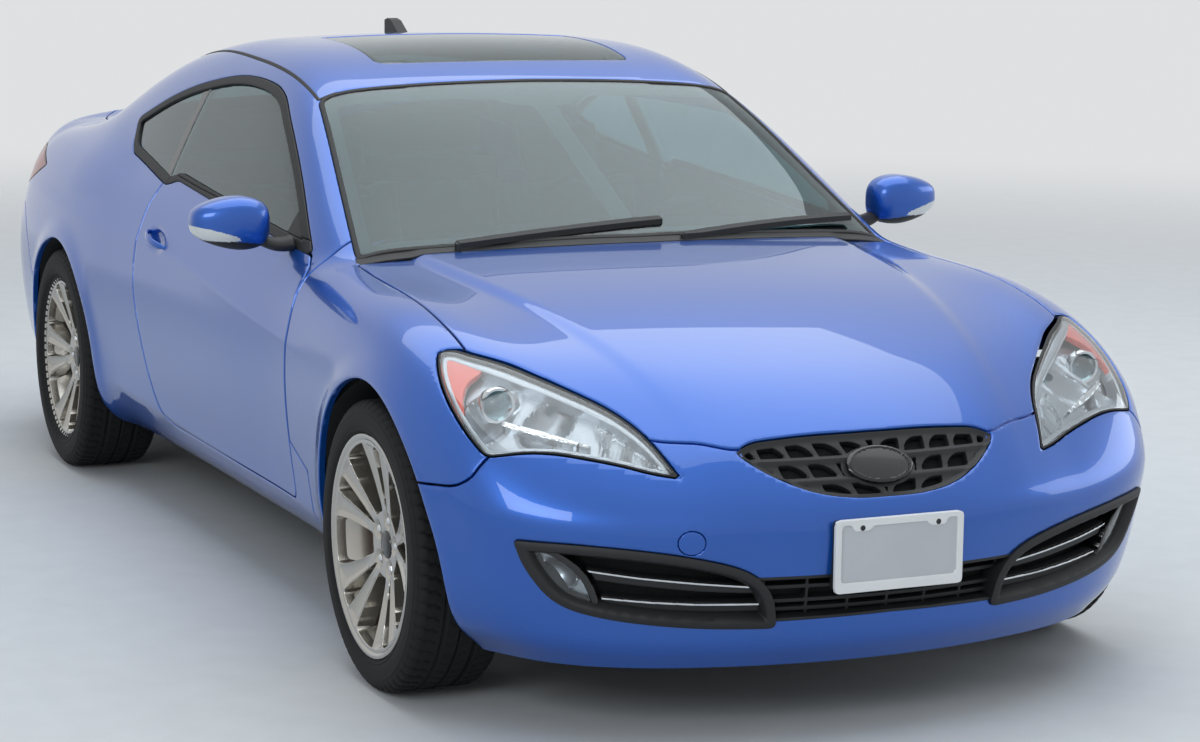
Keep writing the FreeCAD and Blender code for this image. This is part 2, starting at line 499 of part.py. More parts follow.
# Fog lamps, plates, wipers and antenna
fog = lowered(outer, -8, 0, 0).common(
    Part.makeCylinder(46, 400, V(1900, 655, 335), V(1, 0, 0))).common(intake_left).cut(lowered(outer, -60, 0, 0))
save("fog_lamps", both_sides(biggest(fog)))
save("number_plates", [box(NOSE_FACE_X, NOSE_X, -155.5, 155.5, 332, 494),
                       box(TAIL_X, TAIL_X + 8, -152.5, 152.5, 540, 692)])
wipers = []
for pivot_x, pivot_y, tip_x, tip_y in ((961, -479, 905, 95), (977, 126, 880, 655)):
    along = V(tip_x - pivot_x, tip_y - pivot_y, 0).normalize()
    across = V(-along.y, along.x, 0) * 8
    strip = prism_z([(pivot_x + across.x, pivot_y + across.y), (tip_x + across.x, tip_y + across.y),
                     (tip_x - across.x, tip_y - across.y), (pivot_x - across.x, pivot_y - across.y)], 800, 1200)
    blade = strip.common(lowered(outer, 0, 0, 14)).cut(outer)
    post_shape = Part.makeCylinder(9, 300, V(pivot_x, pivot_y, 800)).common(lowered(outer, 0, 0, 12)).cut(
        lowered(outer, 0, 0, -CHANNEL_DEPTH))
    wipers.append(biggest(biggest(blade).fuse(biggest(post_shape))))
save("wipers", wipers)
fin = prism_y([(-680, 1340), (-850, 1300), (-850, 1402), (-825, 1408), (-790, 1402)], -16, 16).cut(outer)
save("antenna", biggest(fin))

# Engine and radiator, as plain blocks
save("engine_block", box(1150, 1760, -240, 240, 250, 720))
save("radiator", box(1990, 2035, -340, 340, UNDERTRAY_TOP_Z, 600))


def wheel_set(x, z, track, width, radius, name):
    """Tyre, wheel with its brake disc, and stub axle of one left wheel."""
    middle = track / 2
    rim_half = RIM_WIDTH / 2
    half = width / 2
    inner = rim_half - RIM_WALL
    flange = RIM_RADIUS + RIM_LIP

    def turned(points):
        wire = outline(points, lambda p: V(x + p[0], middle + p[1], z))
        return Part.Face(wire).revolve(V(x, middle, z), V(0, 1, 0), 360)

    tyre = turned([(RIM_RADIUS, -inner), (flange, -inner), ((radius - 50, -half), (radius - 17, -half + 7)),
                   (radius, -half + 24), (radius, half - 24), (radius - 17, half - 7),
                   ((radius - 50, half), (flange, inner)), (RIM_RADIUS, inner)])
    barrel = turned([(RIM_RADIUS - RIM_WALL, -rim_half), (flange, -rim_half), (flange, -inner), (RIM_RADIUS, -inner),
                     (RIM_RADIUS, inner), (flange, inner), (flange, rim_half), (RIM_RADIUS - RIM_WALL, rim_half)])
    hub_y = middle + HUB_FACE
    disc_y = hub_y - HAT_DEPTH - DISC_THICKNESS
    hub = Part.makeCylinder(DISC_RADIUS, DISC_THICKNESS, V(x, disc_y, z), V(0, 1, 0)).fuse([
        Part.makeCylinder(HUB_RADIUS + 6, HAT_DEPTH, V(x, hub_y - HAT_DEPTH, z), V(0, 1, 0)),
        Part.makeCylinder(HUB_RADIUS, HUB_DEPTH, V(x, hub_y, z), V(0, 1, 0))])
    face = hub_y + HUB_DEPTH
    rim_y = middle + rim_half - 4
    spoke_side = [(40, hub_y + 4), (40, face), (150, face + 10), (RIM_RADIUS - 4, rim_y), (RIM_RADIUS - 4, rim_y - 34),
                  (150, face - 22)]
    spokes = []
    for k in range(SPOKE_COUNT):
        for lean in (-1, 1):
            arm = Part.Face(outline(spoke_side, lambda p: V(x, p[1], z + p[0]))).extrude(V(20, 0, 0))
            arm.translate(V(-10 + lean * 14, 0, 0))
            arm.rotate(V(x, 0, z), V(0, 1, 0), 5.5 * lean + 360.0 / SPOKE_COUNT * k)
            spokes.append(arm)
    wheel = barrel.fuse([hub] + spokes).cut(
        Part.makeCylinder(AXLE_RADIUS + RUNNING_CLEARANCE, hub_y + 22 - disc_y, V(x, disc_y - 1, z), V(0, 1, 0)))
    stub = Part.makeCylinder(AXLE_RADIUS, hub_y + 19 - (disc_y - 10), V(x, disc_y - 10, z), V(0, 1, 0)).fuse(
        Part.makeCylinder(AXLE_RADIUS + 12, 10 - SEAT_GAP, V(x, disc_y - 10, z), V(0, 1, 0)))
    save("tyre_%s_left" % name, tyre)
    save("tyre_%s_right" % name, mirrored(tyre))
    save("wheel_%s_left" % name, biggest(wheel))
    save("wheel_%s_right" % name, mirrored(biggest(wheel)))
    return stub, disc_y


def caliper(x, z, disc_y, centre):
    """Brake caliper over the disc's edge, with centre the angle of its middle in the side view."""
    y0, y1 = disc_y - 17, disc_y + DISC_THICKNESS + 22
    ring = Part.makeCylinder(CALIPER_RADIUS, y1 - y0, V(x, y0, z), V(0, 1, 0)).cut([
        Part.makeCylinder(108, y1 - y0 + 2, V(x, y0 - 1, z), V(0, 1, 0)),
        Part.makeCylinder(DISC_RADIUS + PANEL_GAP + 1, DISC_THICKNESS + 12, V(x, disc_y - 6, z), V(0, 1, 0))])
    a, b = math.radians(centre - 27), math.radians(centre + 27)
    wedge = Part.Face(outline([(0, 0), (400 * math.cos(a), 400 * math.sin(a)), (400 * math.cos(b), 400 * math.sin(b))],
                              lambda p: V(x + p[0], y0 - 1, z + p[1]))).extrude(V(0, y1 - y0 + 2, 0))
    return biggest(ring.common(wedge))


front_stub, front_disc_y = wheel_set(FRONT_AXLE_X, TYRE_RADIUS_FRONT, TRACK_FRONT, TYRE_WIDTH_FRONT,
                                     TYRE_RADIUS_FRONT, "front")
rear_stub, rear_disc_y = wheel_set(REAR_AXLE_X, TYRE_RADIUS_REAR, TRACK_REAR, TYRE_WIDTH_REAR,
                                   TYRE_RADIUS_REAR, "rear")
front_caliper = caliper(FRONT_AXLE_X, TYRE_RADIUS_FRONT, front_disc_y, 180)
rear_caliper = caliper(REAR_AXLE_X, TYRE_RADIUS_REAR, rear_disc_y, 0)


def caliper_arm(x, z, disc_y, side_x):
    """The lug on the upright that the caliper bolts to: its outer face lies on the caliper's inner face."""
    x0, x1 = sorted((x + side_x * 20, x + side_x * 150))
    return box(x0, x1, disc_y - 29, disc_y - 17, z - 25, z + 25)


# Front suspension: the arms and strut are fixed, the knuckle turns between the arms
fx, fz = FRONT_AXLE_X, TYRE_RADIUS_FRONT
knuckle = box(fx - 28, fx + 28, front_disc_y - 48, front_disc_y - 10, KNUCKLE_BOTTOM_Z, KNUCKLE_TOP_Z).fuse(
    [front_stub, caliper_arm(fx, fz, front_disc_y, -1)])
save("knuckle_left", biggest(knuckle))
save("knuckle_right", mirrored(biggest(knuckle)))
save("brake_caliper_front_left", front_caliper)
save("brake_caliper_front_right", mirrored(front_caliper))


def wishbone(x, y_end, z0, z1, spread):
    """A flat arm from the wheel housing's wall out to a rounded end at y_end."""
    end = 12
    return prism_z([(x - spread, WELL_INNER_Y), (x + spread, WELL_INNER_Y), (x + 26, WELL_INNER_Y + 110),
                    (x + end, y_end), ((x, y_end + end), (x - end, y_end)), (x - 26, WELL_INNER_Y + 110)], z0, z1)


lower_arm = wishbone(fx, KINGPIN_Y, KNUCKLE_BOTTOM_Z - 18, KNUCKLE_BOTTOM_Z - SEAT_GAP, 80)
upper_arm = wishbone(fx, KINGPIN_Y, KNUCKLE_TOP_Z + SEAT_GAP, KNUCKLE_TOP_Z + 16, 65)
strut = Part.makeCylinder(28, 600, V(fx, 595, KNUCKLE_BOTTOM_Z - 18)).common(wells[0])
front_arms = biggest(lower_arm.fuse([upper_arm, strut]))
save("front_suspension", both_sides(front_arms) + [
    box(1430, 1590, -470, 470, UNDERTRAY_TOP_Z, 250), cylinder_y(1660, 0, 222, 22, 940)])

# Rear suspension, fixed
rx, rz = REAR_AXLE_X, TYRE_RADIUS_REAR
upright = box(rx - 28, rx + 28, rear_disc_y - 48, rear_disc_y - 10, 200, 470).fuse(
    [rear_stub, caliper_arm(rx, rz, rear_disc_y, 1),
     wishbone(rx, rear_disc_y - 20, 200, 218, 80), wishbone(rx, rear_disc_y - 20, 452, 468, 65),
     Part.makeCylinder(28, 700, V(rx, 595, 200)).common(wells[2]),
     Part.makeCylinder(17, rear_disc_y - 40 - WELL_INNER_Y, V(rx, WELL_INNER_Y, rz), V(0, 1, 0))])
drive = box(rx - 100, rx + 90, -120, 120, 255, 410).fuse(
    [cylinder_y(rx, 0, rz, 17, 2 * APRON_Y), box(rx - 110, rx + 90, -470, 470, 400, TRUNK_FLOOR_Z - 40)])
save("rear_suspension", both_sides(biggest(upright)) + [drive])
save("brake_calipers_rear", both_sides(rear_caliper))

# Exhaust along the tunnel to a muffler behind the rear axle
pipe_path = [V(940, 0, 250), V(-850, 0, 250), V(-1080, 210, 225), V(-1600, 300, 225), V(-1790, 250, 320)]
exhaust = rod(pipe_path[0], pipe_path[1], 30)
for a, b in zip(pipe_path[1:], pipe_path[2:]):
    exhaust = exhaust.fuse([rod(a, b, 30), Part.makeSphere(30, a)])
exhaust = exhaust.fuse([box(-2120, -1780, -400, 400, 250, 400)]
                       + [box(-1960, -1940, y - 20, y + 20, 395, TRUNK_FLOOR_Z - 40) for y in (-300, 300)]
                       + [rod(V(-2100, y, 292), V(-2302, y, 292), 34) for y in (-350, 350)]
                       + [box(700, 720, -20, 20, 270, REAR_SEAT_FLOOR_Z - 25)])
for y in (-350, 350):
    exhaust = exhaust.cut(rod(V(-2180, y, 292), V(-2310, y, 292), 30))
save("exhaust", biggest(exhaust))

# Cabin: seats, dashboard with console, and steering wheel
seat_parts = []
cushion = prism_y([(-190, 330), (330, 345), (372, 400), (350, 455), (-110, 425), (-190, 440)], 0, 490)
back = prism_y([(-190, 330), (-95, 425), (-240, 760), (-325, 960), (-405, 965), (-330, 560)], 0, 470)
head = prism_y([(-350, 990), (-405, 985), (-450, 1130), (-385, 1140)], 110, 360)
stalk = rod(V(-352, 180, 940), V(-395, 180, 1020), 7).fuse(rod(V(-352, 290, 940), V(-395, 290, 1020), 7))
rails = box(-150, 300, 30, 80, FLOOR_TOP_Z, 345).fuse(box(-150, 300, 400, 450, FLOOR_TOP_Z, 345))
front_seat = cushion.fuse([back.translated(V(0, 10, 0)), head, stalk, rails]).translated(V(0, 130, 0))
save("front_seats", both_sides(biggest(front_seat)))
save("rear_seat", prism_y([(-1150, REAR_SEAT_FLOOR_Z), (-720, REAR_SEAT_FLOOR_Z), (-680, 430), (-700, 500), (-1040, 470),
                           (-1105, 900), (-1150, 905)], -470, 470))
dash_side = [(575, 560), (560, 760), (620, 850), (760, 888), (872, 888), (872, 845), (960, 845), (960, 560)]
dash = prism_y(dash_side, -680, 680).fuse(
    [prism_y(dash_side, -732, 732).common(box(500, 745, -740, 740, 500, 900)),
     prism_y([(-330, REAR_SEAT_FLOOR_Z), (600, REAR_SEAT_FLOOR_Z), (600, 620), (400, 560), (-330, 540)], -108, 108)])
save("dashboard", biggest(dash))
centre = V(425, 370, 805)
axis = V(-math.cos(math.radians(25)), 0, math.sin(math.radians(25)))
helm = Part.makeTorus(178, 15, centre, axis).fuse([
    Part.makeCylinder(48, 40, centre - axis * 30, axis), rod(centre - axis * 25, centre - axis * 260, 30)])
for k in (0, 1, 2):
    out = V(0, 1, 0) if k == 0 else V(0, -1, 0) if k == 1 else V(-axis.z, 0, axis.x)
    helm = helm.fuse(rod(centre - axis * 8, centre - axis * 2 + out * 178, 11))
helm = helm.cut(dash)
save("steering_wheel", biggest(helm))
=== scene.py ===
# %% [markdown]
# # A two-door coupe car
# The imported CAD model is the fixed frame: metres, +X forward, +Y to the car's left and +Z up.
# Every painted panel, window and lamp below lies on one body function, so neighbours always meet.

# %% Load the frame
import bpy
import numpy as np
from mathutils import Matrix, Vector


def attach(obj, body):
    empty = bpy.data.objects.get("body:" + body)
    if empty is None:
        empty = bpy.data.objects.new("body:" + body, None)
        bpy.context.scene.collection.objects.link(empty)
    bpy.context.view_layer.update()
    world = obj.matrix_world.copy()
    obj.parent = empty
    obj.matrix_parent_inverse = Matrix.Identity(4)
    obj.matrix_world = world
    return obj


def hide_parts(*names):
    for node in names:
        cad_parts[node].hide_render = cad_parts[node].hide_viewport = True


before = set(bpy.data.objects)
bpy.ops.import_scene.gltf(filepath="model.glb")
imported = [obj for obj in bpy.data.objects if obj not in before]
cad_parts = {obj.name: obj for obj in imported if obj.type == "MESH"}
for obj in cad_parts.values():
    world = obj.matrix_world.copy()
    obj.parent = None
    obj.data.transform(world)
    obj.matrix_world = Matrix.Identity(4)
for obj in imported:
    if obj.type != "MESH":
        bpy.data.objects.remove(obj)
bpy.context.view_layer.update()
print("frame loaded:", len(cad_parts), "pieces")

# %% [markdown]
# ## The camera
# The photograph was taken from the front right corner at eye height with a long lens. The camera's place
# was solved from mirror pairs of points, so it is written as its three axes and its position.

# %% Camera
EYE = (7.489, -3.0277, 1.773)
RIGHT = (0.40807448, 0.91288000, 0.01119443)
DOWN = (0.15226211, -0.05596368, -0.98675444)
FORWARD = (-0.90016191, 0.40437379, -0.16183438)
LENS_MM = 86.37
camera_data = bpy.data.cameras.new("camera")
camera_data.sensor_width = 36.0
camera_data.lens = LENS_MM
camera_data.clip_start = 0.05
camera = bpy.data.objects.new("camera", camera_data)
bpy.context.scene.collection.objects.link(camera)
axes = Matrix((RIGHT, [-d for d in DOWN], [-f for f in FORWARD])).transposed()
camera.matrix_world = Matrix.Translation(EYE) @ axes.to_4x4()
bpy.context.scene.camera = camera

# %% [markdown]
# ## Curves through pins
# A body designer bends a batten through pins and reads every section off it. A natural cubic spline is that
# batten, and its bending never jumps, so reflections run smoothly over the panel.

# %% Curves and soft joins


def curve(*pins):
    """A natural cubic spline through (position, value) pins, held level past both ends."""
    at, value = np.array(sorted(pins), float).T
    step = np.diff(at)
    n = len(at)
    system = np.eye(n)
    right = np.zeros(n)
    i = np.arange(1, n - 1)
    system[i, i - 1] = step[:-1]
    system[i, i] = 2 * (step[:-1] + step[1:])
    system[i, i + 1] = step[1:]
    right[i] = 6 * np.diff(np.diff(value) / step)
    bend = np.linalg.solve(system, right)

    def read(x):
        x = np.clip(x, at[0], at[-1])
        k = np.clip(np.searchsorted(at, x) - 1, 0, n - 2)
        a, b, h = at[k + 1] - x, x - at[k], step[k]
        return ((bend[k] * a**3 + bend[k + 1] * b**3) / (6 * h)
                + (value[k] / h - bend[k] * h / 6) * a + (value[k + 1] / h - bend[k + 1] * h / 6) * b)
    return read


def least(a, b, soft):
    """The smaller of two values, with a cubic round of width soft where they are close."""
    h = np.clip(soft - np.abs(a - b), 0, None) / soft
    return np.minimum(a, b) - h**3 * soft / 6


def most(a, b, soft):
    return -least(-a, -b, soft)


def ease(x, start, end):
    """Rises smoothly from 0 at start to 1 at end."""
    t = np.clip((x - start) / (end - start), 0, 1)
    return t * t * (3 - 2 * t)


# %% [markdown]
# ## The body function
# The car's outside is where one function is zero: positive inside, negative outside. The lower body is the
# soft least of a side, a nose, a tail and a top. The cabin is the soft least of its own side and roof. Clay
# modellers work the same way: broad surfaces first, then the radius between them.

# %% Lower body
AXLES = ((1.510, 0.331, 0.380), (-1.310, 0.339, 0.376))     # x, z and arch radius: front, rear
NOSE_CORNER, TAIL_CORNER = .34, .42     # widths of the soft joins between the sides and the two ends

widest = curve((-2.4, .835), (-2.2, .868), (-2.0, .894), (-1.75, .918), (-1.5, .930), (-1.31, .9325),
               (-1.05, .926), (-.8, .913), (-.5, .900), (-.1, .890), (.4, .884), (.8, .884), (1.15, .902),
               (1.51, .9185), (1.8, .912), (2.0, .893), (2.2, .862), (2.4, .825))
tuck = curve((.15, .165), (.18, .135), (.21, .098), (.25, .062), (.29, .042), (.34, .028), (.42, .015),
             (.52, .004), (.61, .0), (.69, .004), (.76, .016), (.84, .037), (.92, .070), (1.0, .120),
             (1.1, .20))
nose_line = curve((.12, 2.20), (.17, 2.232), (.21, 2.262), (.26, 2.276), (.33, 2.288), (.40, 2.296),
                  (.46, 2.298), (.50, 2.290), (.53, 2.272), (.56, 2.249), (.60, 2.218), (.64, 2.186),
                  (.68, 2.145), (.75, 2.06), (.85, 1.90), (1.0, 1.6))
nose_bow = curve((.15, .36), (.45, .35), (.62, .28), (.8, .28))
tail_line = curve((.18, 2.19), (.24, 2.235), (.30, 2.265), (.37, 2.290), (.46, 2.308), (.58, 2.315),
                  (.70, 2.314), (.80, 2.304), (.90, 2.286), (.98, 2.268), (1.03, 2.255), (1.1, 2.23))
deck_line = curve((2.45, .46), (2.30, .575), (2.19, .652), (2.08, .707), (1.95, .758), (1.78, .811),
                  (1.51, .871), (1.15, .913), (.95, .928), (.757, .934), (.4, .955), (0, .980),
                  (-.43, 1.006), (-.98, 1.032), (-1.31, 1.040), (-1.75, 1.047), (-2.05, 1.050),
                  (-2.2, 1.050), (-2.35, 1.045))
deck_fall = curve((2.45, .30), (2.30, .29), (2.19, .25), (2.08, .17), (1.95, .10), (1.78, .062),
                  (1.51, .050), (1.15, .044), (.95, .038), (.4, .045), (-.5, .05), (-1.31, .06),
                  (-1.75, .065), (-2.1, .075), (-2.4, .09))


def side_of(x, z):
    """Half the width: the plan curve less the tuck of the section, plus arch lips, a crease and the sill's
    foot."""
    y = widest(x) - tuck(z)
    for ax, az, radius in AXLES:
        out = np.hypot(x - ax, z - az) - radius
        y = y + .010 * np.exp(-(out / .040) ** 2) + .012 * np.exp(-(out / .11) ** 2) * ease(.55 - z, 0, .3)
    rise = z - (.790 - .115 * ease(x, -.5, 1.3) + .05 * ease(-x, .8, 2.0))
    fade = ease(x, -2.2, -1.7) * (1 - ease(x, .5, 1.15))
    y = y + .0055 * np.exp(-np.sqrt(rise**2 + .004**2) / .035) * fade
    foot = z - (.300 + .035 * ease(-x, -.5, .9))
    between = ease(x, -.95, -.6) * (1 - ease(x, .85, 1.15))
    return y + .009 * np.exp(-np.sqrt(foot**2 + .004**2) / .030) * between


def top_of(x, y):
    """Height of hood, fender tops and deck: the middle line less a fall to the sides, the fender's crown
    and hood creases."""
    z = deck_line(x) - deck_fall(x) * y**2
    z = z + .020 * np.exp(-((y - .77) / .13) ** 2) * ease(x, 1.0, 1.5) * (1 - ease(x, 1.75, 2.1))
    crease = .575 - .225 * ease(x, .9, 2.5)
    height = .0100 * (1 - ease(x, 1.0, 2.15)) + .003
    z = z - height * ease(y, crease - .012, crease + .035) * ease(x, .6, .9)
    lip = .016 * ease(-x, 2.08, 2.25)
    return z + lip


def lower_body(x, y, z):
    """The soft least of side, nose and tail, then of that and the top, with a tighter edge along the
    tail."""
    y = np.abs(y)
    corner = least(side_of(x, z) - y, nose_line(z) - nose_bow(z) * y**2 - x, NOSE_CORNER)
    corner = least(corner, tail_line(z) - .10 * y**2 + x, TAIL_CORNER)
    soft = .155 + .06 * ease(x, 1.6, 2.0) - .09 * ease(y, .55, .30)
    soft = np.where(x < -1.9, soft * (1 - .75 * ease(-x, 1.95, 2.15)), soft)
    return least(corner, top_of(x, y) - z, np.clip(soft, .03, None))


# %% Cabin
roof_line = curve((2.6, -.2), (1.8, .40), (1.3, .755), (1.15, .838), (1.01, .914), (.90, .969),
                  (.60, 1.116), (.24, 1.282), (.05, 1.342), (-.15, 1.3735), (-.35, 1.381), (-.55, 1.378),
                  (-.75, 1.358), (-.95, 1.322), (-1.15, 1.266), (-1.35, 1.196), (-1.6, 1.096),
                  (-1.75, 1.034), (-1.92, .945), (-2.1, .80), (-2.3, .45), (-2.5, 0))
roof_fall = curve((1.0, .02), (.25, .040), (-.15, .058), (-1.0, .068), (-1.7, .065))
belt_width = curve((1.05, .735), (.9, .762), (.6, .785), (.24, .797), (-.15, .803), (-.55, .806),
                   (-.95, .803), (-1.35, .783), (-1.7, .742), (-1.95, .70))


def cabin(x, y, z):
    """The soft least of the cabin's side, which leans in as it rises, and its roof, which bows forward in
    plan."""
    y = np.abs(y)
    rise = np.clip(z, .88, None) - .93
    lean = .42 * rise + .20 * rise**2 + 1.6 * np.clip(.88 - z, 0, None)
    side = (belt_width(x) - lean - y) * .92
    bow = .138 * y**2 * ease(x, .15, .85)
    roof = roof_line(x + bow) - roof_fall(x) * y**2 - z
    return least(side, roof * .95, .165)


def whole_body(x, y, z):
    return most(lower_body(x, y, z), cabin(x, y, z), .035 + .13 * ease(-x, .75, 1.35))


HALVINGS = 26       # 2.4 m halved 26 times is far below a micrometre


def slope_of(shape, p, step=.002):
    """Outward unit normal of the shape at points p: downhill of the function, by central differences."""
    normal = np.empty_like(p)
    for k in range(3):
        ahead, behind = p.copy(), p.copy()
        ahead[:, k] += step
        behind[:, k] -= step
        normal[:, k] = shape(*behind.T) - shape(*ahead.T)
    return normal / np.linalg.norm(normal, axis=1)[:, None]


def land(shape, start, way, reach=2.4):
    """Where rays from inside the shape cross its surface, by halving the span again and again."""
    near, far = np.zeros(len(start)), np.full(len(start), reach)
    for _ in range(HALVINGS):
        middle = (near + far) / 2
        inside = shape(*(start + way * middle[:, None]).T) > 0
        near, far = np.where(inside, middle, near), np.where(inside, far, middle)
    return start + way * ((near + far) / 2)[:, None]


# %% [markdown]
# ## Rays for each kind of panel
# A panel's grid is a fan or a comb of rays. Side panels fan out round a line along the car, bumpers round
# an upright line, and the hood and roof use upright rays, so that each grid meets its panel nearly square
# on.

# %% Ray fans
SIDE_LINE = (.15, .60)              # y and z of the line that side rays fan out from
TOP_START, PANE_START = .40, .885   # heights at which upright rays start
NOSE_AXIS, TAIL_AXIS = 1.30, -1.30  # x of the upright lines that bumper rays fan out from
LID_LINE = (-1.78, .60)             # x and z of the line that lid rays fan out from
NOSE_RADIUS = .9


def beams(start, way):
    """Starts and directions, each from three columns or numbers."""
    columns = np.broadcast_arrays(*start, *way)
    return np.stack(columns[:3], 1).astype(float), np.stack(columns[3:], 1).astype(float)


def side_rays(u, v):
    """u is x, v the angle above level, from a line low inside the car."""
    return beams((u, *SIDE_LINE), (0, np.cos(v), np.sin(v)))


def top_rays(u, v):
    """u and v are x and y of upright rays."""
    return beams((u, v, TOP_START), (0, 0, 1))


def pane_rays(u, v):
    """Upright rays from the belt's height, for the glass in the cabin's front and back."""
    return beams((u, v, PANE_START), (0, 0, 1))


def front_rays(u, v):
    """u is the angle from straight ahead, v the height."""
    return beams((NOSE_AXIS, 0, v), (np.cos(u), np.sin(u), 0))


def rear_rays(u, v):
    """u is the angle from straight back, v the height."""
    return beams((TAIL_AXIS, 0, v), (-np.cos(u), np.sin(u), 0))


def lid_rays(u, v):
    """u is y, v the angle from straight up towards the tail."""
    return beams((LID_LINE[0], u, LID_LINE[1]), (-np.sin(v), 0, np.cos(v)))


# %% [markdown]
# ## Cutting panels out
# Stamped panels are drawn whole and trimmed on outlines. Here a grid of triangles is cut where a rule
# changes sign. Two more cuts just inside the edge let it roll over a small radius, and a flange then turns
# in behind it.

# %% Outlines


def rounded(points, radius=.02):
    """The closed outline with each corner replaced by a parabola that starts radius (or the point's third
    value) away."""
    p = np.array([q[:2] for q in points], float)
    cut = np.array([q[2] if len(q) > 2 else radius for q in points])
    before, after = np.roll(p, 1, 0) - p, np.roll(p, -1, 0) - p
    la, lb = np.linalg.norm(before, axis=1), np.linalg.norm(after, axis=1)
    a = p + before * (np.minimum(cut, la * .48) / la)[:, None]
    b = p + after * (np.minimum(cut, lb * .48) / lb)[:, None]
    t = np.linspace(0, 1, 9)[None, :, None]
    return ((1 - t) ** 2 * a[:, None] + 2 * t * (1 - t) * p[:, None] + t**2 * b[:, None]).reshape(-1, 2)


def beyond(points, outline):
    """Distance of 2-D points from a closed outline, negative inside."""
    a = outline
    b = np.roll(outline, -1, 0)
    best = np.full(len(points), 1e9)
    odd = np.zeros(len(points), bool)
    for (ax, ay), (bx, by) in zip(a, b):
        dx, dy = bx - ax, by - ay
        size = dx * dx + dy * dy
        if size < 1e-14:
            continue
        px, py = points[:, 0] - ax, points[:, 1] - ay
        t = np.clip((px * dx + py * dy) / size, 0, 1)
        best = np.minimum(best, np.hypot(px - t * dx, py - t * dy))
        odd ^= ((ay > points[:, 1]) != (by > points[:, 1])) & (
            px < dx * py / (dy if abs(dy) > 1e-12 else 1e-12))
    return np.where(odd, -best, best)


def SIDE(p):
    return p[:, (0, 2)]


def PLAN(p):
    return np.stack([p[:, 0], np.abs(p[:, 1])], 1)


def ROUND(p):
    """Way round the nose from its middle, in metres on a circle of NOSE_RADIUS about the upright line, and
    height."""
    return np.stack([NOSE_RADIUS * np.arctan2(np.abs(p[:, 1]), p[:, 0] - NOSE_AXIS), p[:, 2]], 1)


def within(outline, view, grow=0.0):
    """A rule that keeps what lies inside the outline in that view. The car's right side counts as its
    left."""
    return lambda p: beyond(view(p), outline) - grow


def outside(outline, view, grow=0.0):
    return lambda p: grow - beyond(view(p), outline)


# %% Cutting a mesh along a rule


def cut(rows, faces, value, both=False):
    """Splits triangles where value changes sign. Rows hold any columns, which are mixed linearly along a
    cut edge. Keeps the negative side, or both."""
    value = np.where(np.abs(value) < 1e-9, -1e-9, value)
    inside = value < 0
    parts = [] if not both else [faces[~inside[faces].any(1)]]
    parts.append(faces[inside[faces].all(1)])
    mixed = faces[inside[faces].any(1) & ~inside[faces].all(1)]
    if len(mixed) == 0:
        return rows, np.concatenate(parts)
    alone_in = inside[mixed].sum(1) == 1
    lone = np.where(alone_in[:, None], inside[mixed], ~inside[mixed]).argmax(1)
    i = np.arange(len(mixed))
    a, b, c = mixed[i, lone], mixed[i, (lone + 1) % 3], mixed[i, (lone + 2) % 3]
    pairs = np.sort(np.concatenate([np.stack([a, b], 1), np.stack([a, c], 1)]), 1)
    unique, back = np.unique(pairs, axis=0, return_inverse=True)
    back = back.reshape(-1)
    t = value[unique[:, 0]] / (value[unique[:, 0]] - value[unique[:, 1]])
    fresh = rows[unique[:, 0]] * (1 - t)[:, None] + rows[unique[:, 1]] * t[:, None]
    ab, ac = len(rows) + back[:len(mixed)], len(rows) + back[len(mixed):]
    tip = np.stack([a, ab, ac], 1)
    base = np.concatenate([np.stack([ab, b, c], 1), np.stack([ab, c, ac], 1)])
    twice = np.concatenate([alone_in, alone_in])
    parts += [tip, base] if both else [tip[alone_in], base[~twice]]
    return np.concatenate([rows, fresh]), np.concatenate(parts)


def tidy(rows, faces):
    """Drops unused rows."""
    used, back = np.unique(faces, return_inverse=True)
    return rows[used], back.reshape(-1, 3)


def rim(faces):
    """Edges that only one triangle uses, in that triangle's direction."""
    edges = np.concatenate([faces[:, [0, 1]], faces[:, [1, 2]], faces[:, [2, 0]]])
    unique, first, count = np.unique(np.sort(edges, 1), axis=0, return_index=True, return_counts=True)
    return edges[first[count == 1]]


def comb(u, v):
    """A square grid of two parameters, as rows and triangles."""
    uu, vv = np.meshgrid(u, v, indexing="ij")
    index = np.arange(uu.size).reshape(uu.shape)
    a, b = index[:-1, :-1].ravel(), index[1:, :-1].ravel()
    c, d = index[1:, 1:].ravel(), index[:-1, 1:].ravel()
    return np.stack([uu.ravel(), vv.ravel()], 1), np.concatenate([np.stack([a, b, c], 1),
                                                                  np.stack([a, c, d], 1)])


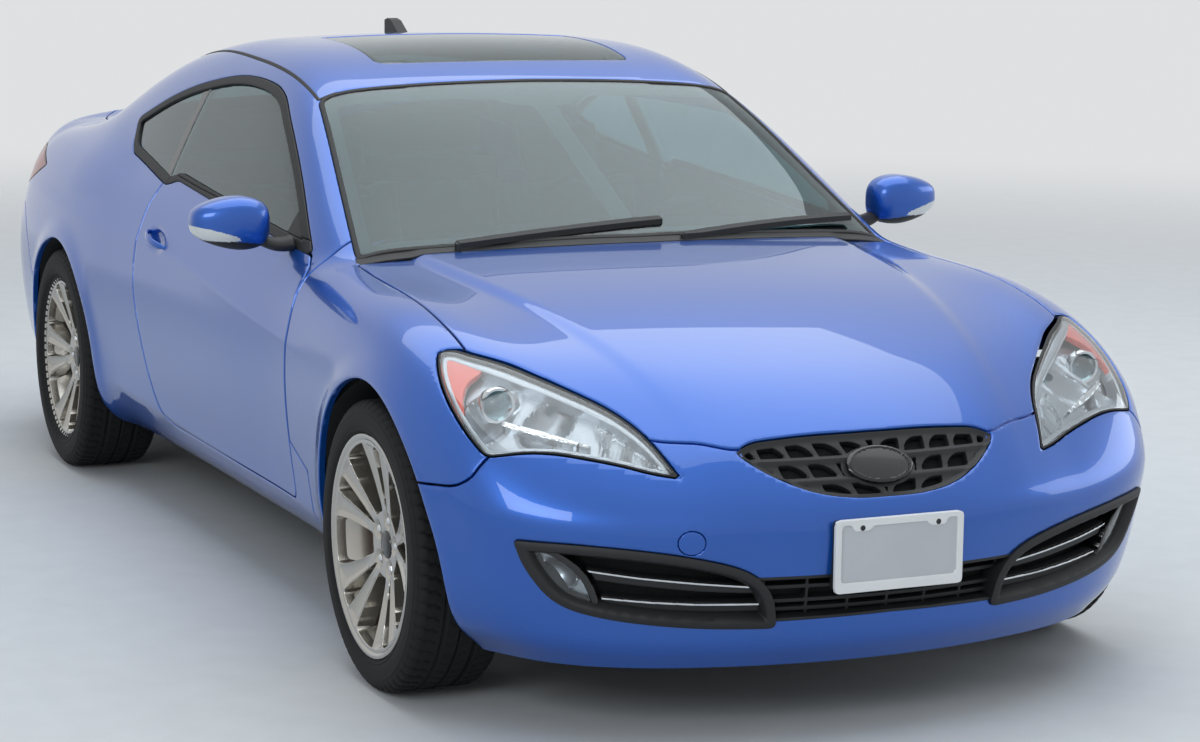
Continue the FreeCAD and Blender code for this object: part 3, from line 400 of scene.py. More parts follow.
def trimmed(grid, place, facing, rules, roll=.003, flange=.014, lift=0.0, back=None):
    """A sheet of grid rows put in space by place, cut by each rule, with its edge rolled over and a flange
    turned in behind. back, a function of the points, gives the way to a second skin instead, for a thick
    plate. lift, a number or a function of the points, raises the sheet. Gives points and triangles."""
    rows, faces = grid
    rows = np.column_stack([rows, place(rows[:, 0], rows[:, 1])])
    for rule in rules:
        rows, faces = cut(rows, faces, rule(rows[:, 2:]))
        rows, faces = tidy(rows, faces)
    for level in ((-roll, -roll * .45) if roll else ()):
        for rule in rules:
            rows, faces = cut(rows, faces, rule(rows[:, 2:]) - level, both=True)
    points = place(rows[:, 0], rows[:, 1])
    normal = facing(points)
    ahead = np.cross(points[faces[:, 1]] - points[faces[:, 0]], points[faces[:, 2]] - points[faces[:, 0]])
    if (ahead * normal[faces[:, 0]]).sum() < 0:
        faces = faces[:, ::-1]
    if roll:
        depth = np.max([rule(points) for rule in rules], axis=0)
        over = np.clip((depth + roll) / roll, 0, 1)
        points = points - normal * (roll * (1 - np.sqrt(1 - over**2 * .98)))[:, None]
    height = lift(points) if callable(lift) else np.full(len(points), lift)
    points = points + normal * height[:, None]
    edge = rim(faces)
    if back is not None:
        far = edge + len(points)
        behind = faces[:, ::-1] + len(points)
        points = np.concatenate([points, points + back(points)])
        return points, np.concatenate([faces, behind, np.stack([edge[:, 1], edge[:, 0], far[:, 0]], 1),
                                       np.stack([edge[:, 1], far[:, 0], far[:, 1]], 1)])
    if flange:
        ring, far = np.unique(edge, return_inverse=True)
        far = far.reshape(-1, 2) + len(points)
        points = np.concatenate([points, points[ring] - normal[ring] * flange])
        faces = np.concatenate([faces, np.stack([edge[:, 1], edge[:, 0], far[:, 0]], 1),
                                np.stack([edge[:, 1], far[:, 0], far[:, 1]], 1)])
    return points, faces


def panel(shape, rays, u, v, rules, **more):
    """A trimmed sheet of the body function, put there by rays."""
    return trimmed(comb(u, v), lambda a, b: land(shape, *rays(a, b)), lambda p: slope_of(shape, p), rules,
                   **more)


def nose(u, v, rules, **more):
    """A panel of the front end, from rays that fan out round an upright line."""
    return panel(lower_body, front_rays, u, v, rules, **more)


def flank(u, v, rules, **more):
    """A panel of the left side."""
    return panel(whole_body, side_rays, u, v, rules, **more)


def mirrored(points, faces):
    return points * (1, -1, 1), faces[:, ::-1]


def together(*meshes):
    """Several (points, faces) as one."""
    start = np.cumsum([0] + [len(p) for p, _ in meshes])
    return np.concatenate([p for p, _ in meshes]), np.concatenate([f + s for (_, f),
        s in zip(meshes, start)])


def both_sides(mesh):
    """A left-hand mesh and its mirror image as one."""
    return together(mesh, mirrored(*mesh))


SIDES = (("left", lambda mesh: mesh), ("right", lambda mesh: mirrored(*mesh)))


# %% [markdown]
# ## Making an object
# One helper puts a mesh into Blender, smooths it except at real edges, and hands it to the CAD body that
# carries it.

# %% Pieces
SHARP_DEGREES = 32


def piece(name, mesh, finish, body="car_body", stands_for=(), slot=None, sharp=SHARP_DEGREES, which=None):
    """A smooth-shaded object from (points, faces) that rides on a body. Faces may be triangles or quads.
    finish may be a list, and which then says for each face which of them it has."""
    points, faces = mesh
    data = bpy.data.meshes.new(name)
    count, corners = faces.shape
    data.vertices.add(len(points))
    data.vertices.foreach_set("co", points.astype(np.float32).ravel())
    data.loops.add(count * corners)
    data.loops.foreach_set("vertex_index", faces.astype(np.int32).ravel())
    data.polygons.add(count)
    data.polygons.foreach_set("loop_start", np.arange(0, count * corners, corners, dtype=np.int32))
    data.update(calc_edges=True)
    data.shade_smooth()
    data.set_sharp_from_angle(angle=np.radians(sharp))
    for one in finish if isinstance(finish, list) else [finish]:
        data.materials.append(one)
    if which is not None:
        data.polygons.foreach_set("material_index", which.astype(np.int32))
    made = bpy.data.objects.new(name, data)
    bpy.context.scene.collection.objects.link(made)
    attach(made, body)
    if stands_for:
        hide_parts(*([stands_for] if isinstance(stands_for, str) else stands_for))
    print("%-26s %7d points %7d faces" % (name, len(points), count))
    return made


# %% [markdown]
# ## Finishes
# One helper makes a material from its typical values, and one adds a node with its settings and links.

# %% Material helpers


def linear(code):
    """An sRGB hex colour as linear RGBA."""
    value = np.array([int(code[i:i + 2], 16) for i in (1, 3, 5)]) / 255
    value = np.where(value <= .04045, value / 12.92, ((value + .055) / 1.055) ** 2.4)
    return (*value.tolist(), 1.0)


def add(material, kind, settings=(), **links):
    """A node of that kind. Settings are (name, value): an input by its name or number, or else a property.
    Links are socket=output, with underscores for spaces."""
    node = material.node_tree.nodes.new(kind)
    for name, value in settings:
        if isinstance(name, int) or name in node.inputs:
            node.inputs[name].default_value = value
        else:
            setattr(node, name, value)
    for name, output in links.items():
        key = int(name[1:]) if name[0] == "_" and name[1:].isdigit() else name.replace("_", " ")
        material.node_tree.links.new(output, node.inputs[key])
    return node


def finish(name, colour, rough, metal=0.0, **extra):
    """A Principled material with its constants set on the shader's own sockets."""
    made = bpy.data.materials.new(name)
    made.use_nodes = True
    shader = made.node_tree.nodes["Principled BSDF"]
    shader.inputs["Base Color"].default_value = linear(colour)
    shader.inputs["Roughness"].default_value = rough
    shader.inputs["Metallic"].default_value = metal
    for key, value in extra.items():
        shader.inputs[key.replace("_", " ")].default_value = value
    return made


def grained(made, size_mm, depth_mm, vary=.15, detail=3.0, colour_vary=.06):
    """Adds a grain of that size to a material: a noise in object space that drives bump, a little roughness
    and a little colour."""
    shader = made.node_tree.nodes["Principled BSDF"]
    base = tuple(shader.inputs["Base Color"].default_value)
    rough = shader.inputs["Roughness"].default_value
    place = add(made, "ShaderNodeTexCoord")
    noise = add(made, "ShaderNodeTexNoise", [("Scale", 1000 / size_mm), ("Detail", detail)],
                Vector=place.outputs["Object"])
    bump = add(made, "ShaderNodeBump", [("Strength", 1.0), ("Distance", depth_mm / 1000)],
               Height=noise.outputs["Fac"])
    spread = add(made, "ShaderNodeMapRange", [("To Min", max(rough - vary, .02)),
                                              ("To Max", min(rough + vary, 1))], Value=noise.outputs["Fac"])
    broad = add(made, "ShaderNodeTexNoise", [("Scale", 9.0), ("Detail", 4.0)],
                Vector=place.outputs["Object"])
    tint = add(made, "ShaderNodeMix", [("data_type", "RGBA")], Factor=broad.outputs["Fac"])
    tint.inputs[6].default_value = tuple(c * (1 - colour_vary) for c in base[:3]) + (1,)
    tint.inputs[7].default_value = tuple(min(c * (1 + colour_vary), 1) for c in base[:3]) + (1,)
    links = made.node_tree.links
    links.new(bump.outputs["Normal"], shader.inputs["Normal"])
    links.new(spread.outputs["Result"], shader.inputs["Roughness"])
    links.new(tint.outputs[2], shader.inputs["Base Color"])
    return made


# %% Body finishes
# Metallic clear-coat enamel: aluminium flakes under blue, baked smooth, with a glassy coat on top.
blue_enamel = grained(finish("metallic_enamel_sprayed", "#1158B6", .34, .55, Coat_Weight=1.0,
                             Coat_Roughness=.02, Coat_IOR=1.5), 1.2, .012, vary=.05, detail=2.0,
                      colour_vary=.04)
# Polypropylene, moulded with a fine leather-like grain: dull black.
black_plastic = grained(finish("polypropylene_moulded", "#17181A", .55), 1.6, .06)
# Gloss ABS trim, moulded and polished.
gloss_trim = grained(finish("abs_polished", "#0B0C0E", .18, Coat_Weight=.4, Coat_Roughness=.05), 8.0, .01,
                     vary=.04)
# Felted wheel-house liner and tar-like underseal, sprayed: rough and matt. Also painted shade behind shut
# lines.
underseal_and_painted_shade = grained(finish("underseal_sprayed_and_painted_shade", "#131415", .85), 6.0, .6)

# %% [markdown]
# ## Painted panels
# The outlines come from the photograph's shut lines, measured on the body by rays from the solved camera.

# %% Outlines of the panels
GAP = .0022             # half of a shut line
HINGED_FLANGE = .006    # the hood's and the lid's edges turn in less, for room to swing
LID_FOOT = .796         # height of the lid's lower edge
HOOD_PLAN = rounded([(.993, -.01, 0), (.986, .25, .15), (.957, .60, .1), (.945, .735, .012),
                     (1.50, .757, .2), (1.75, .757, .03), (1.95, .62, .1), (2.075, .484, .05),
                     (2.112, .396, .02), (2.154, .318, .03), (2.158, .163, .1), (2.161, -.01, 0)])
LID_PLAN = rounded([(-1.643, -.01, 0), (-1.643, .598, .02), (-2.06, .590, .2), (-2.20, .50, .05),
                    (-2.235, .44, .03), (-2.42, .44, 0), (-2.42, -.01, 0)])
LID_SIDE = rounded([(-1.5, LID_FOOT, 0), (-2.6, LID_FOOT, 0), (-2.6, 1.3, 0), (-1.5, 1.3, 0)])
WINDSHIELD_PLAN = rounded([(.965, -.01, 0), (.950, .40, .25), (.915, .724, .02), (.258, .600, .03),
                           (.235, .35, .2), (.229, -.01, 0)])
ROOF_PLAN = rounded([(.229, -.01, 0), (.235, .35, .2), (.258, .600, .004), (-.320, .590, .3),
                     (-.905, .562, .004), (-.878, .30, .2), (-.870, -.01, 0)])
REAR_WINDOW_PLAN = rounded([(-.870, -.01, 0), (-.878, .30, .2), (-.905, .562, .05), (-1.56, .585, .05),
                            (-1.595, .30, .2), (-1.600, -.01, 0)])
DECK_CHANNEL_PLAN = rounded([(-1.600, -.01, 0), (-1.595, .30, .2), (-1.56, .585, .01), (-1.638, .598, .01),
                             (-1.638, -.01, 0)])
COWL_CHANNEL_PLAN = rounded([(.95, -.01, 0), (.94, .40, .25), (.905, .726, .005), (.945, .735, .005),
                             (.957, .60, .1), (.986, .25, .15), (.993, -.01, 0)])
SUNROOF_PLAN = rounded([(.098, -.01, 0), (.092, .25, .1), (.085, .375, .03), (-.395, .375, .03),
                        (-.395, -.01, 0)])
DOOR_SIDE = rounded([(.835, .302, .03), (.835, .79, .05), (.822, .862, .03), (.757, .899, .012),
                     (-.427, .974, .03), (-.511, .954, .02), (-.545, .958, .008), (-.540, .701, .1),
                     (-.482, .571, .08), (-.430, .417, .08), (-.36, .330, .06), (-.24, .302, .05)])
WINDOW_SIDE = rounded([(.757, .899, .02), (-.427, .974, .03), (-.511, .954, .03), (-.80, .990, .15),
                       (-.985, 1.013, .05), (-1.083, 1.099, .03), (-.760, 1.205, .2), (-.391, 1.267, .2),
                       (-.160, 1.277, .15), (.071, 1.257, .10), (.430, 1.098, .3)])
SILL_SIDE = rounded([(.98, .192, .02), (-.95, .192, .02), (-.95, .2, 0), (-2.6, .2, 0), (-2.6, 1.6, 0),
                     (.84, 1.6, 0), (.84, .45, 0), (.98, .40, 0)])
FRONT_SEAM_SIDE = rounded([(1.815, .10, 0), (1.815, .537, .01), (1.937, .546, .03), (1.965, .568, .01),
                           (1.973, .62, 0), (2.05, .72, 0), (2.5, .80, 0), (2.5, .10, 0)])
REAR_SEAM_SIDE = rounded([(-1.69, .10, 0), (-1.69, .56, .02), (-1.74, .64, .04), (-1.90, .76, .05),
                          (-2.6, .787, 0), (-2.6, .10, 0)])
HEADLAMP = rounded([(.985, .803, .02), (.870, .783, .05), (.714, .738, .1), (.590, .698, .1),
                    (.500, .650, .06), (.429, .576, .006), (.486, .584, .03), (.560, .603, .06),
                    (.700, .627, .06), (.792, .612, .015), (.885, .689, .08), (1.012, .796, .01)])
TAIL_LAMP_SIDE = rounded([(-1.73, .905, .01), (-2.0, .958, .1), (-2.5, .935, 0), (-2.5, .80, 0),
                          (-2.0, .812, .1)])
UPPER_GRILLE = rounded([(-.02, .650, 0), (.16, .649, .06), (.285, .641, .03), (.322, .622, .012),
                        (.262, .583, .04), (.170, .543, .05), (.080, .528, .04), (-.02, .528, 0)])
INTAKE = rounded([(.722, .450, .01), (.600, .447, .1), (.428, .426, .1), (.300, .392, .06),
                  (.250, .340, .05), (.240, .258, .02), (.400, .262, .1), (.560, .282, .1),
                  (.655, .312, .05), (.706, .390, .04)])
FOG_LAMP = rounded([(.714, .438, .008), (.655, .431, .03), (.600, .385, .04), (.577, .320, .02),
                    (.582, .290, .01), (.650, .306, .04), (.694, .360, .04)])
LOWER_GRILLE = rounded([(-.02, .371, 0), (.30, .371, 0), (.30, .272, 0), (-.02, .277, 0)])


def arch(axle, grow=0.0):
    ax, az, radius = axle
    return lambda p: radius + grow - np.hypot(p[:, 0] - ax, p[:, 2] - az)


def span(a, b, step):
    return np.linspace(a, b, int(abs(b - a) / step) + 2)


GRID, ANGLE = .016, .020     # usual steps of a panel's grid, in metres and in radians
TIP_Y, TIP_Z = .36, .245     # middle of each tail pipe

# %% Hood, roof and trunk lid
hood = panel(lower_body, top_rays, span(.93, 2.20, GRID * .7), span(-.77, .77, GRID * .7),
             [within(HOOD_PLAN, PLAN, -GAP), outside(HEADLAMP, ROUND, GAP),
              outside(UPPER_GRILLE, ROUND, .001)], flange=HINGED_FLANGE)
piece("hood_panel", hood, blue_enamel, "hood", "hood", "body_paint")
roof = panel(cabin, top_rays, span(.28, -.93, GRID), span(-.62, .62, GRID),
             [within(ROOF_PLAN, PLAN, -GAP), outside(SUNROOF_PLAN, PLAN, GAP)])
piece("roof_skin", roof, blue_enamel, "car_body", "roof_panel", "body_paint")
lid = panel(whole_body, lid_rays, span(-.62, .62, GRID), span(-.35, 1.45, ANGLE * 1.3),
            [within(LID_PLAN, PLAN, -GAP), within(LID_SIDE, SIDE, -GAP),
             lambda p: LID_FOOT - p[:, 2] + .25 * np.clip(np.abs(p[:, 1]) - .44, 0, 1)],
            flange=HINGED_FLANGE)
piece("trunk_lid_skin", lid, blue_enamel, "trunk_lid", "trunk_lid", "body_paint")

# %% Sides, doors and fenders
# Door outline, window, arch and sill are rules on one grid, so the side and the door share every edge.
fan = span(-.62, 1.22, ANGLE)
side_rules = [
    outside(DOOR_SIDE, SIDE, GAP), outside(WINDOW_SIDE, SIDE, .004), arch(AXLES[1]),
    within(SILL_SIDE, SIDE, -GAP), outside(REAR_SEAM_SIDE, SIDE, GAP), outside(ROOF_PLAN, PLAN, GAP),
    outside(WINDSHIELD_PLAN, PLAN, .003), outside(REAR_WINDOW_PLAN, PLAN, .003), outside(LID_PLAN, PLAN, GAP),
    outside(DECK_CHANNEL_PLAN, PLAN, 0), outside(TAIL_LAMP_SIDE, SIDE, GAP)]
side = flank(span(-2.31, .99, GRID), fan, side_rules)
piece("side_skin_left", side, blue_enamel, "car_body", "body_side_left", "body_paint")
piece("side_skin_right", mirrored(*side), blue_enamel, "car_body", "body_side_right", "body_paint")

def handle_bowl(p):
    """The hollow behind the door handle: a smooth oval dish, 15 mm deep, tilted as the handle is."""
    dx, dz = p[:, 0] + .370, p[:, 2] - .812
    along, over = dx - .177 * dz, dz + .177 * dx
    return -.015 * np.clip(1 - (along / .088) ** 2 - (over / .031) ** 2, 0, 1) ** 1.5


door = flank(span(-.57, .86, GRID * .7), span(-.45, .62, ANGLE * .65), [within(DOOR_SIDE, SIDE, -GAP)],
             lift=handle_bowl)
piece("door_skin_left", door, blue_enamel, "door_left", "door_left", "body_paint")
piece("door_skin_right", mirrored(*door), blue_enamel, "door_right", "door_right", "body_paint")

fender = flank(span(.74, 2.12, GRID * .75), span(-.62, .85, ANGLE * .75),
               [outside(DOOR_SIDE, SIDE, GAP), outside(SILL_SIDE, SIDE, GAP), arch(AXLES[0]),
                outside(HOOD_PLAN, PLAN, GAP), outside(FRONT_SEAM_SIDE, SIDE, GAP),
                outside(HEADLAMP, ROUND, GAP), outside(WINDSHIELD_PLAN, PLAN, .003),
                outside(COWL_CHANNEL_PLAN, PLAN, 0), lambda p: .19 - p[:, 2]])
piece("fender_skins", both_sides(fender), blue_enamel, "car_body", "front_fenders", "body_paint")

# %% [markdown]
# ## Bumpers
# Moulded covers, cut by the same outlines as the lamps and grilles that sit in them. The rear one has a
# black valance below, raised over the two tail pipes, and a shallow tray for the number plate.

# %% Bumpers
TOW_COVER = (.406, .450, .0255)


def tow_disc(p):
    """Negative inside the round cover of the towing eye, which only the right side has."""
    a, z = ROUND(p).T
    return np.where(p[:, 1] < 0, np.hypot(a - TOW_COVER[0], z - TOW_COVER[1]) - TOW_COVER[2], 1.0)


front = nose(span(-1.16, 1.16, ANGLE * .55), span(.165, .80, .0105),
             [within(FRONT_SEAM_SIDE, SIDE, -GAP), outside(HOOD_PLAN, PLAN, GAP),
              outside(HEADLAMP, ROUND, GAP), outside(UPPER_GRILLE, ROUND, 0), outside(INTAKE, ROUND, 0),
              arch(AXLES[0]), outside(LOWER_GRILLE, ROUND, 0), lambda p: .0008 - tow_disc(p)], roll=.0025)
piece("front_bumper_skin", front, blue_enamel, "car_body", "front_bumper", "body_paint")

cover = nose(span(-.50, -.30, .005), span(.41, .49, .005), [lambda p: tow_disc(p) + .0008], roll=.0015,
             flange=.010)
piece("tow_cover", cover, blue_enamel, "car_body", "front_bumper", "body_paint")


def plate_recess(p):
    """A shallow tray for the number plate: 16 mm deep with soft walls."""
    y, z = np.abs(p[:, 1]), p[:, 2]
    return -.016 * (1 - ease(y, .185, .225)) * ease(z, .488,
                                                    .522) * (1 - ease(z, .706, .735)) * (p[:, 0] < -2)


def valance_line(p):
    """Height of the black valance's upper edge: low at the sides, raised over the tail pipes and flat
    between them."""
    return .262 + .070 * (1 - ease(np.abs(p[:, 1]), .50, .68))


def pipe_holes(p):
    """Keeps what is more than 52 mm from the middle of a tail pipe."""
    away = np.hypot(np.abs(p[:, 1]) - TIP_Y, p[:, 2] - TIP_Z)
    return np.where(p[:, 0] < -2, .052 - away, -1.0)


rear_u, rear_v = span(-1.2, 1.2, ANGLE * .6), span(.19, .80, .0115)
rear_rules = [within(REAR_SEAM_SIDE, SIDE, -GAP), outside(TAIL_LAMP_SIDE, SIDE, GAP), arch(AXLES[1])]
rear = panel(lower_body, rear_rays, rear_u, rear_v, rear_rules + [lambda p: valance_line(p) - p[:, 2]],
             lift=plate_recess)
piece("rear_bumper_skin", rear, blue_enamel, "car_body", "rear_bumper", "body_paint")
valance = panel(lower_body, rear_rays, rear_u, rear_v,
                rear_rules + [lambda p: p[:, 2] - valance_line(p) + .001, pipe_holes], lift=-.004,
                flange=.030)
piece("rear_valance", valance, black_plastic, "car_body", "rear_bumper", "body_plastic")

# %% [markdown]
# ## Wheels and tyres
# An alloy wheel is cast and then turned. Its dished face is one sheet over a round grid, and the windows
# between the five twin blades are cut by a rule and walled back to a second skin. The barrel, disc and tyre
# are turned profiles. A pack of boxes for spokes would have no fillets where the blades run into hub and
# rim, so this way was taken.

# %% Turned shapes


def lathe(profile, steps=128, closed=True):
    """Turns (y, radius) points about the Y axis. Gives points and quads, normals outward for a profile that
    runs towards -Y on its outside."""
    profile = np.array(profile, float)
    turn = np.arange(steps) * 2 * np.pi / steps
    y = np.repeat(profile[:, :1], steps, 1)
    r = np.repeat(profile[:, 1:2], steps, 1)
    points = np.stack([r * np.sin(turn), y, r * np.cos(turn)], 2).reshape(-1, 3)
    n = len(profile)
    i, j = np.meshgrid(np.arange(n if closed else n - 1), np.arange(steps), indexing="ij")
    i, j = i.ravel(), j.ravel()
    at = lambda a, b: (a % n) * steps + b % steps
    a, b, c, d = at(i, j), at(i, j + 1), at(i + 1, j + 1), at(i + 1, j)
    return points, np.concatenate([np.stack([a, b, c], 1), np.stack([a, c, d], 1)])


def moved(mesh, x=0.0, y=0.0, z=0.0):
    return mesh[0] + (x, y, z), mesh[1]


def turned_y(mesh, angle):
    """The mesh turned about the Y axis, from +Z towards +X."""
    c, w = np.cos(angle), np.sin(angle)
    x, y, z = mesh[0].T
    return np.stack([x * c + z * w, y, z * c - x * w], 1), mesh[1]


# %% Wheel face
BLADES = 5
HUB_EDGE, RIM_EDGE = .076, .2325    # radii where the hub ends and the rim's band starts
NUT_CIRCLE, NUT_RADIUS = .0572, .0098
VALVE_CIRCLE, VALVE_TURN = .2295, np.pi / 5 * .9
blade_off = curve((0, .009), (.06, .0112), (.09, .0172), (.14, .0290), (.19, .0425), (.235, .0565))
blade_half = curve((0, .010), (.06, .0112), (.09, .0125), (.14, .0170), (.19, .0232), (.235, .0325))
dish = curve((0, .063), (.03, .064), (.075, .068), (.12, .076), (.18, .090), (.222, .1005), (.236, .1035),
             (.25, .104))


def blade_frame(p):
    """Radius, and distance across from the middle of the nearest pair of blades."""
    r = np.hypot(p[:, 0], p[:, 2])
    turn = (np.arctan2(p[:, 0], p[:, 2]) + np.pi / BLADES) % (2 * np.pi / BLADES) - np.pi / BLADES
    return r, turn, np.abs(r * np.sin(turn))


def casting(p):
    """Positive where the wheel's face has metal: hub, blades and rim in one, with fillets between them."""
    r, turn, t = blade_frame(p)
    blade = blade_half(r) - np.abs(t - blade_off(r))
    return most(most(HUB_EDGE - r, blade, .012), r - RIM_EDGE, .018)


def wheel_height(x, z):
    """How far out the face stands: the dish less a scoop along each blade, nut pockets and the middle
    bore."""
    p = np.stack([x, 0 * x, z], 1)
    r, turn, t = blade_frame(p)
    across = np.clip(np.abs(t - blade_off(r)) / blade_half(r), 0, 1)
    scoop = .0062 * (1 - across**2) * ease(r, .078, .135) * (1 - ease(r, .2255, RIM_EDGE))
    ridge = .0016 * np.exp(-((across - .97) / .10) ** 2) * ease(r, .085, .12) * (1 - ease(r, .223, .232))
    nut = np.hypot(t, r * np.cos(turn) - NUT_CIRCLE)
    pocket = .011 * (1 - ease(nut, .0105, .0145)) + .006 * (1 - ease(nut, .014, .024))
    bore = .006 * (1 - ease(r, .0305, .034))
    return dish(r) - scoop + ridge - pocket - bore


def wheel_place(x, z):
    return np.stack([x, wheel_height(x, z), z], 1)


def wheel_facing(p):
    step = .0008
    dx = wheel_height(p[:, 0] + step, p[:, 2]) - wheel_height(p[:, 0] - step, p[:, 2])
    dz = wheel_height(p[:, 0], p[:, 2] + step) - wheel_height(p[:, 0], p[:, 2] - step)
    normal = np.stack([-dx, np.full(len(p), 2 * step), -dz], 1)
    return normal / np.linalg.norm(normal, axis=1)[:, None]


def wheel_back(p):
    """From the face to its back: 22 mm at the hub to 44 mm at the rim."""
    r = np.hypot(p[:, 0], p[:, 2])
    deep = .022 + .022 * ease(r, .07, .22)
    return np.stack([0 * r, -deep, 0 * r], 1)


rings = np.concatenate([span(.012, .08, .0056), span(.084, .205, .0085), span(.210, .2405, .0042)])
around = np.arange(240) * 2 * np.pi / 240
rr, tt = np.meshgrid(rings, around, indexing="ij")
index = np.arange(rr.size).reshape(rr.shape)
a, b = index[:-1], index[1:]
a2, b2 = np.roll(a, -1, 1), np.roll(b, -1, 1)
polar = (np.stack([(rr * np.sin(tt)).ravel(), (rr * np.cos(tt)).ravel()], 1),
         np.concatenate([np.stack([a.ravel(), b.ravel(), b2.ravel()], 1),
                         np.stack([a.ravel(), b2.ravel(), a2.ravel()], 1)]))
wheel_face = trimmed(polar, wheel_place, wheel_facing, [lambda p: -casting(p)], roll=.0022, back=wheel_back)
barrel = lathe([(.0985, .2400), (.1030, .2405), (.1045, .2425), (.1072, .2462), (.1080, .2500),
                (.1078, .2535), (.1060, .2550), (.1035, .2545), (.1000, .2530), (.0960, .2400),
                (.0500, .2360), (.0200, .2235), (-.0200, .2235), (-.0500, .2330), (-.0950, .2390),
                (-.1000, .2530), (-.1050, .2550), (-.1080, .2535), (-.1075, .2480), (-.1020, .2400),
                (-.0950, .2330), (-.0500, .2265), (-.0200, .2170), (.0200, .2170), (.0500, .2270),
                (.0800, .2330)])
disc_face = [(-.008, .0740), (-.0075, .0775), (-.0110, .0790), (-.0200, .0792), (-.0215, .0850),
             (-.0085, .0860), (-.0080, .0880), (-.0080, .1680), (-.0090, .1700), (-.0165, .1700),
             (-.0175, .1640), (-.0265, .1640), (-.0275, .1700), (-.0350, .1700), (-.0360, .1680),
             (-.0360, .0880), (-.0350, .0700), (-.0300, .0240)]
disc = lathe([(.0260, .0240), (.0265, .0700), (.0255, .0725)] + disc_face, 96)


def hexagon(radius, y0, y1):
    """A wheel nut: six flats, a chamfer and a domed end towards +Y."""
    turn = np.arange(6) * np.pi / 3
    sizes = [(y0, 1.0), (y0 + (y1 - y0) * .72, 1.0), (y0 + (y1 - y0) * .80, .93),
             (y0 + (y1 - y0) * .95, .62), (y1, .25)]
    points = np.concatenate([np.stack([radius * k * np.sin(turn), np.full(6, y), radius * k * np.cos(turn)],
                                      1) for y, k in sizes] + [[[0, y1, 0]]])
    faces = [(i * 6 + j, i * 6 + (j + 1) % 6, (i + 1) * 6 + (j + 1) % 6) for i in range(4)
             for j in range(6)]
    faces += [(i * 6 + j, (i + 1) * 6 + (j + 1) % 6, (i + 1) * 6 + j) for i in range(4) for j in range(6)]
    faces += [(24 + j, 24 + (j + 1) % 6, 30) for j in range(6)]
    return points, np.array(faces)[:, ::-1]


nut = moved(hexagon(NUT_RADIUS, .050, .0665), z=NUT_CIRCLE)
nuts = together(*[turned_y(nut, 2 * np.pi / BLADES * k) for k in range(BLADES)])
cap = lathe([(.0560, .0320), (.0625, .0318), (.0652, .0300), (.0668, .0260), (.0662, .0245), (.0672, .0225),
             (.0682, .0120), (.0684, .0010)], 48, closed=False)
valve = lathe([(.088, .0001), (.088, .0042), (.096, .0044), (.100, .0036), (.1055, .0036), (.1055, .0001)],
              14, closed=False)
valve = turned_y(moved(valve, z=VALVE_CIRCLE), VALVE_TURN)
print("wheel face %d triangles" % len(wheel_face[1]))

# %% [markdown]
# ## The tyre
# Its wall is a turned profile, and the tread's grooves are pressed into the same grid by formulas in the
# way round and across. Separate tread blocks would be many pieces for a shape that one moulding makes.

# %% Tyre
PITCHES = 66            # tread blocks round the tyre
BLOCK_STEPS = 5         # grid steps per block
BEAD, OUTER = .242, .331            # radii between which the wall's points below are given
HALF_WIDTH = .1125                  # and their half width
GROOVES = (-.36, .0, .36)           # places of the round grooves, as shares of the half width
SIDE_WALL = [(.0965, .2445), (.1000, .2490), (.1030, .2560), (.1068, .2590), (.1105, .2625), (.1112, .2650),
             (.1098, .2672), (.1112, .2700), (.1122, .2780), (.1125, .2870), (.1121, .2950), (.1112, .3010),
             (.1114, .3018), (.1104, .3030), (.1088, .3080), (.1066, .3140), (.1052, .3165), (.1046, .3166),
             (.1020, .3212), (.0985, .3252), (.0940, .3280), (.0880, .3298)]


def tyre(half_width, radius):
    """A turned profile whose tread is pressed in: three grooves round it, and slanted cuts between shoulder
    blocks."""
    crown = np.linspace(.084, -.084, 37)
    wall = np.array(SIDE_WALL)
    across = np.concatenate([wall, np.stack([crown, OUTER - .0012 * (crown / .088) ** 2], 1),
                             wall[::-1] * (-1, 1)])
    across[:, 0] *= half_width / HALF_WIDTH
    across[:, 1] = BEAD + (across[:, 1] - BEAD) * (radius - BEAD) / (OUTER - BEAD)
    steps = PITCHES * BLOCK_STEPS
    mesh = lathe(across, steps)
    points = mesh[0].reshape(len(across), steps, 3)
    y = np.abs(across[:, 0])[:, None] / half_width
    phase = (np.arange(steps)[None, :] / BLOCK_STEPS + 1.1 * y) % 1.0
    round_it = sum(1 - ease(np.abs(across[:, 0][:, None] / half_width - g), .022, .040) for g in GROOVES)
    cuts = (1 - ease(np.abs(phase - .5), .05, .16)) * ease(y, .44, .50) * (1 - ease(y, .90, .985))
    inner_cuts = (1 - ease(np.abs(phase - .5), .03, .14)) * ease(y, .06, .10) * (1 - ease(y, .22, .28))
    down = .0068 * np.clip(round_it, 0, 1) + .0058 * np.maximum(cuts, .7 * inner_cuts) * (y < .99)
    r = np.hypot(points[..., 0], points[..., 2])
    points[..., (0, 2)] *= ((r - down) / r)[..., None]
    return points.reshape(-1, 3), mesh[1]


# %% Wheel finishes
# Aluminium alloy, cast, painted silver and lacquered: fine flakes under a thin coat.
alloy = grained(finish("aluminium_cast_painted", "#B6B2AA", .24, .90, Coat_Weight=.6, Coat_Roughness=.06),
                .9, .006, vary=.04)
# Cast iron, turned: fine rings left by the tool and the pads.
iron_disc = grained(finish("cast_iron_turned", "#8A8782", .38, .9), 1.4, .02, vary=.10)
# Tyre rubber, moulded and cured: near black and dull.
rubber = grained(finish("rubber_moulded", "#141414", .78, Specular_IOR_Level=.35), 2.2, .05, vary=.06)
# Chromium plate on metal or plastic: a clean bright mirror.
chrome = grained(finish("chromium_plated", "#D9DBDE", .09, 1.0), 30.0, .004, vary=.03)

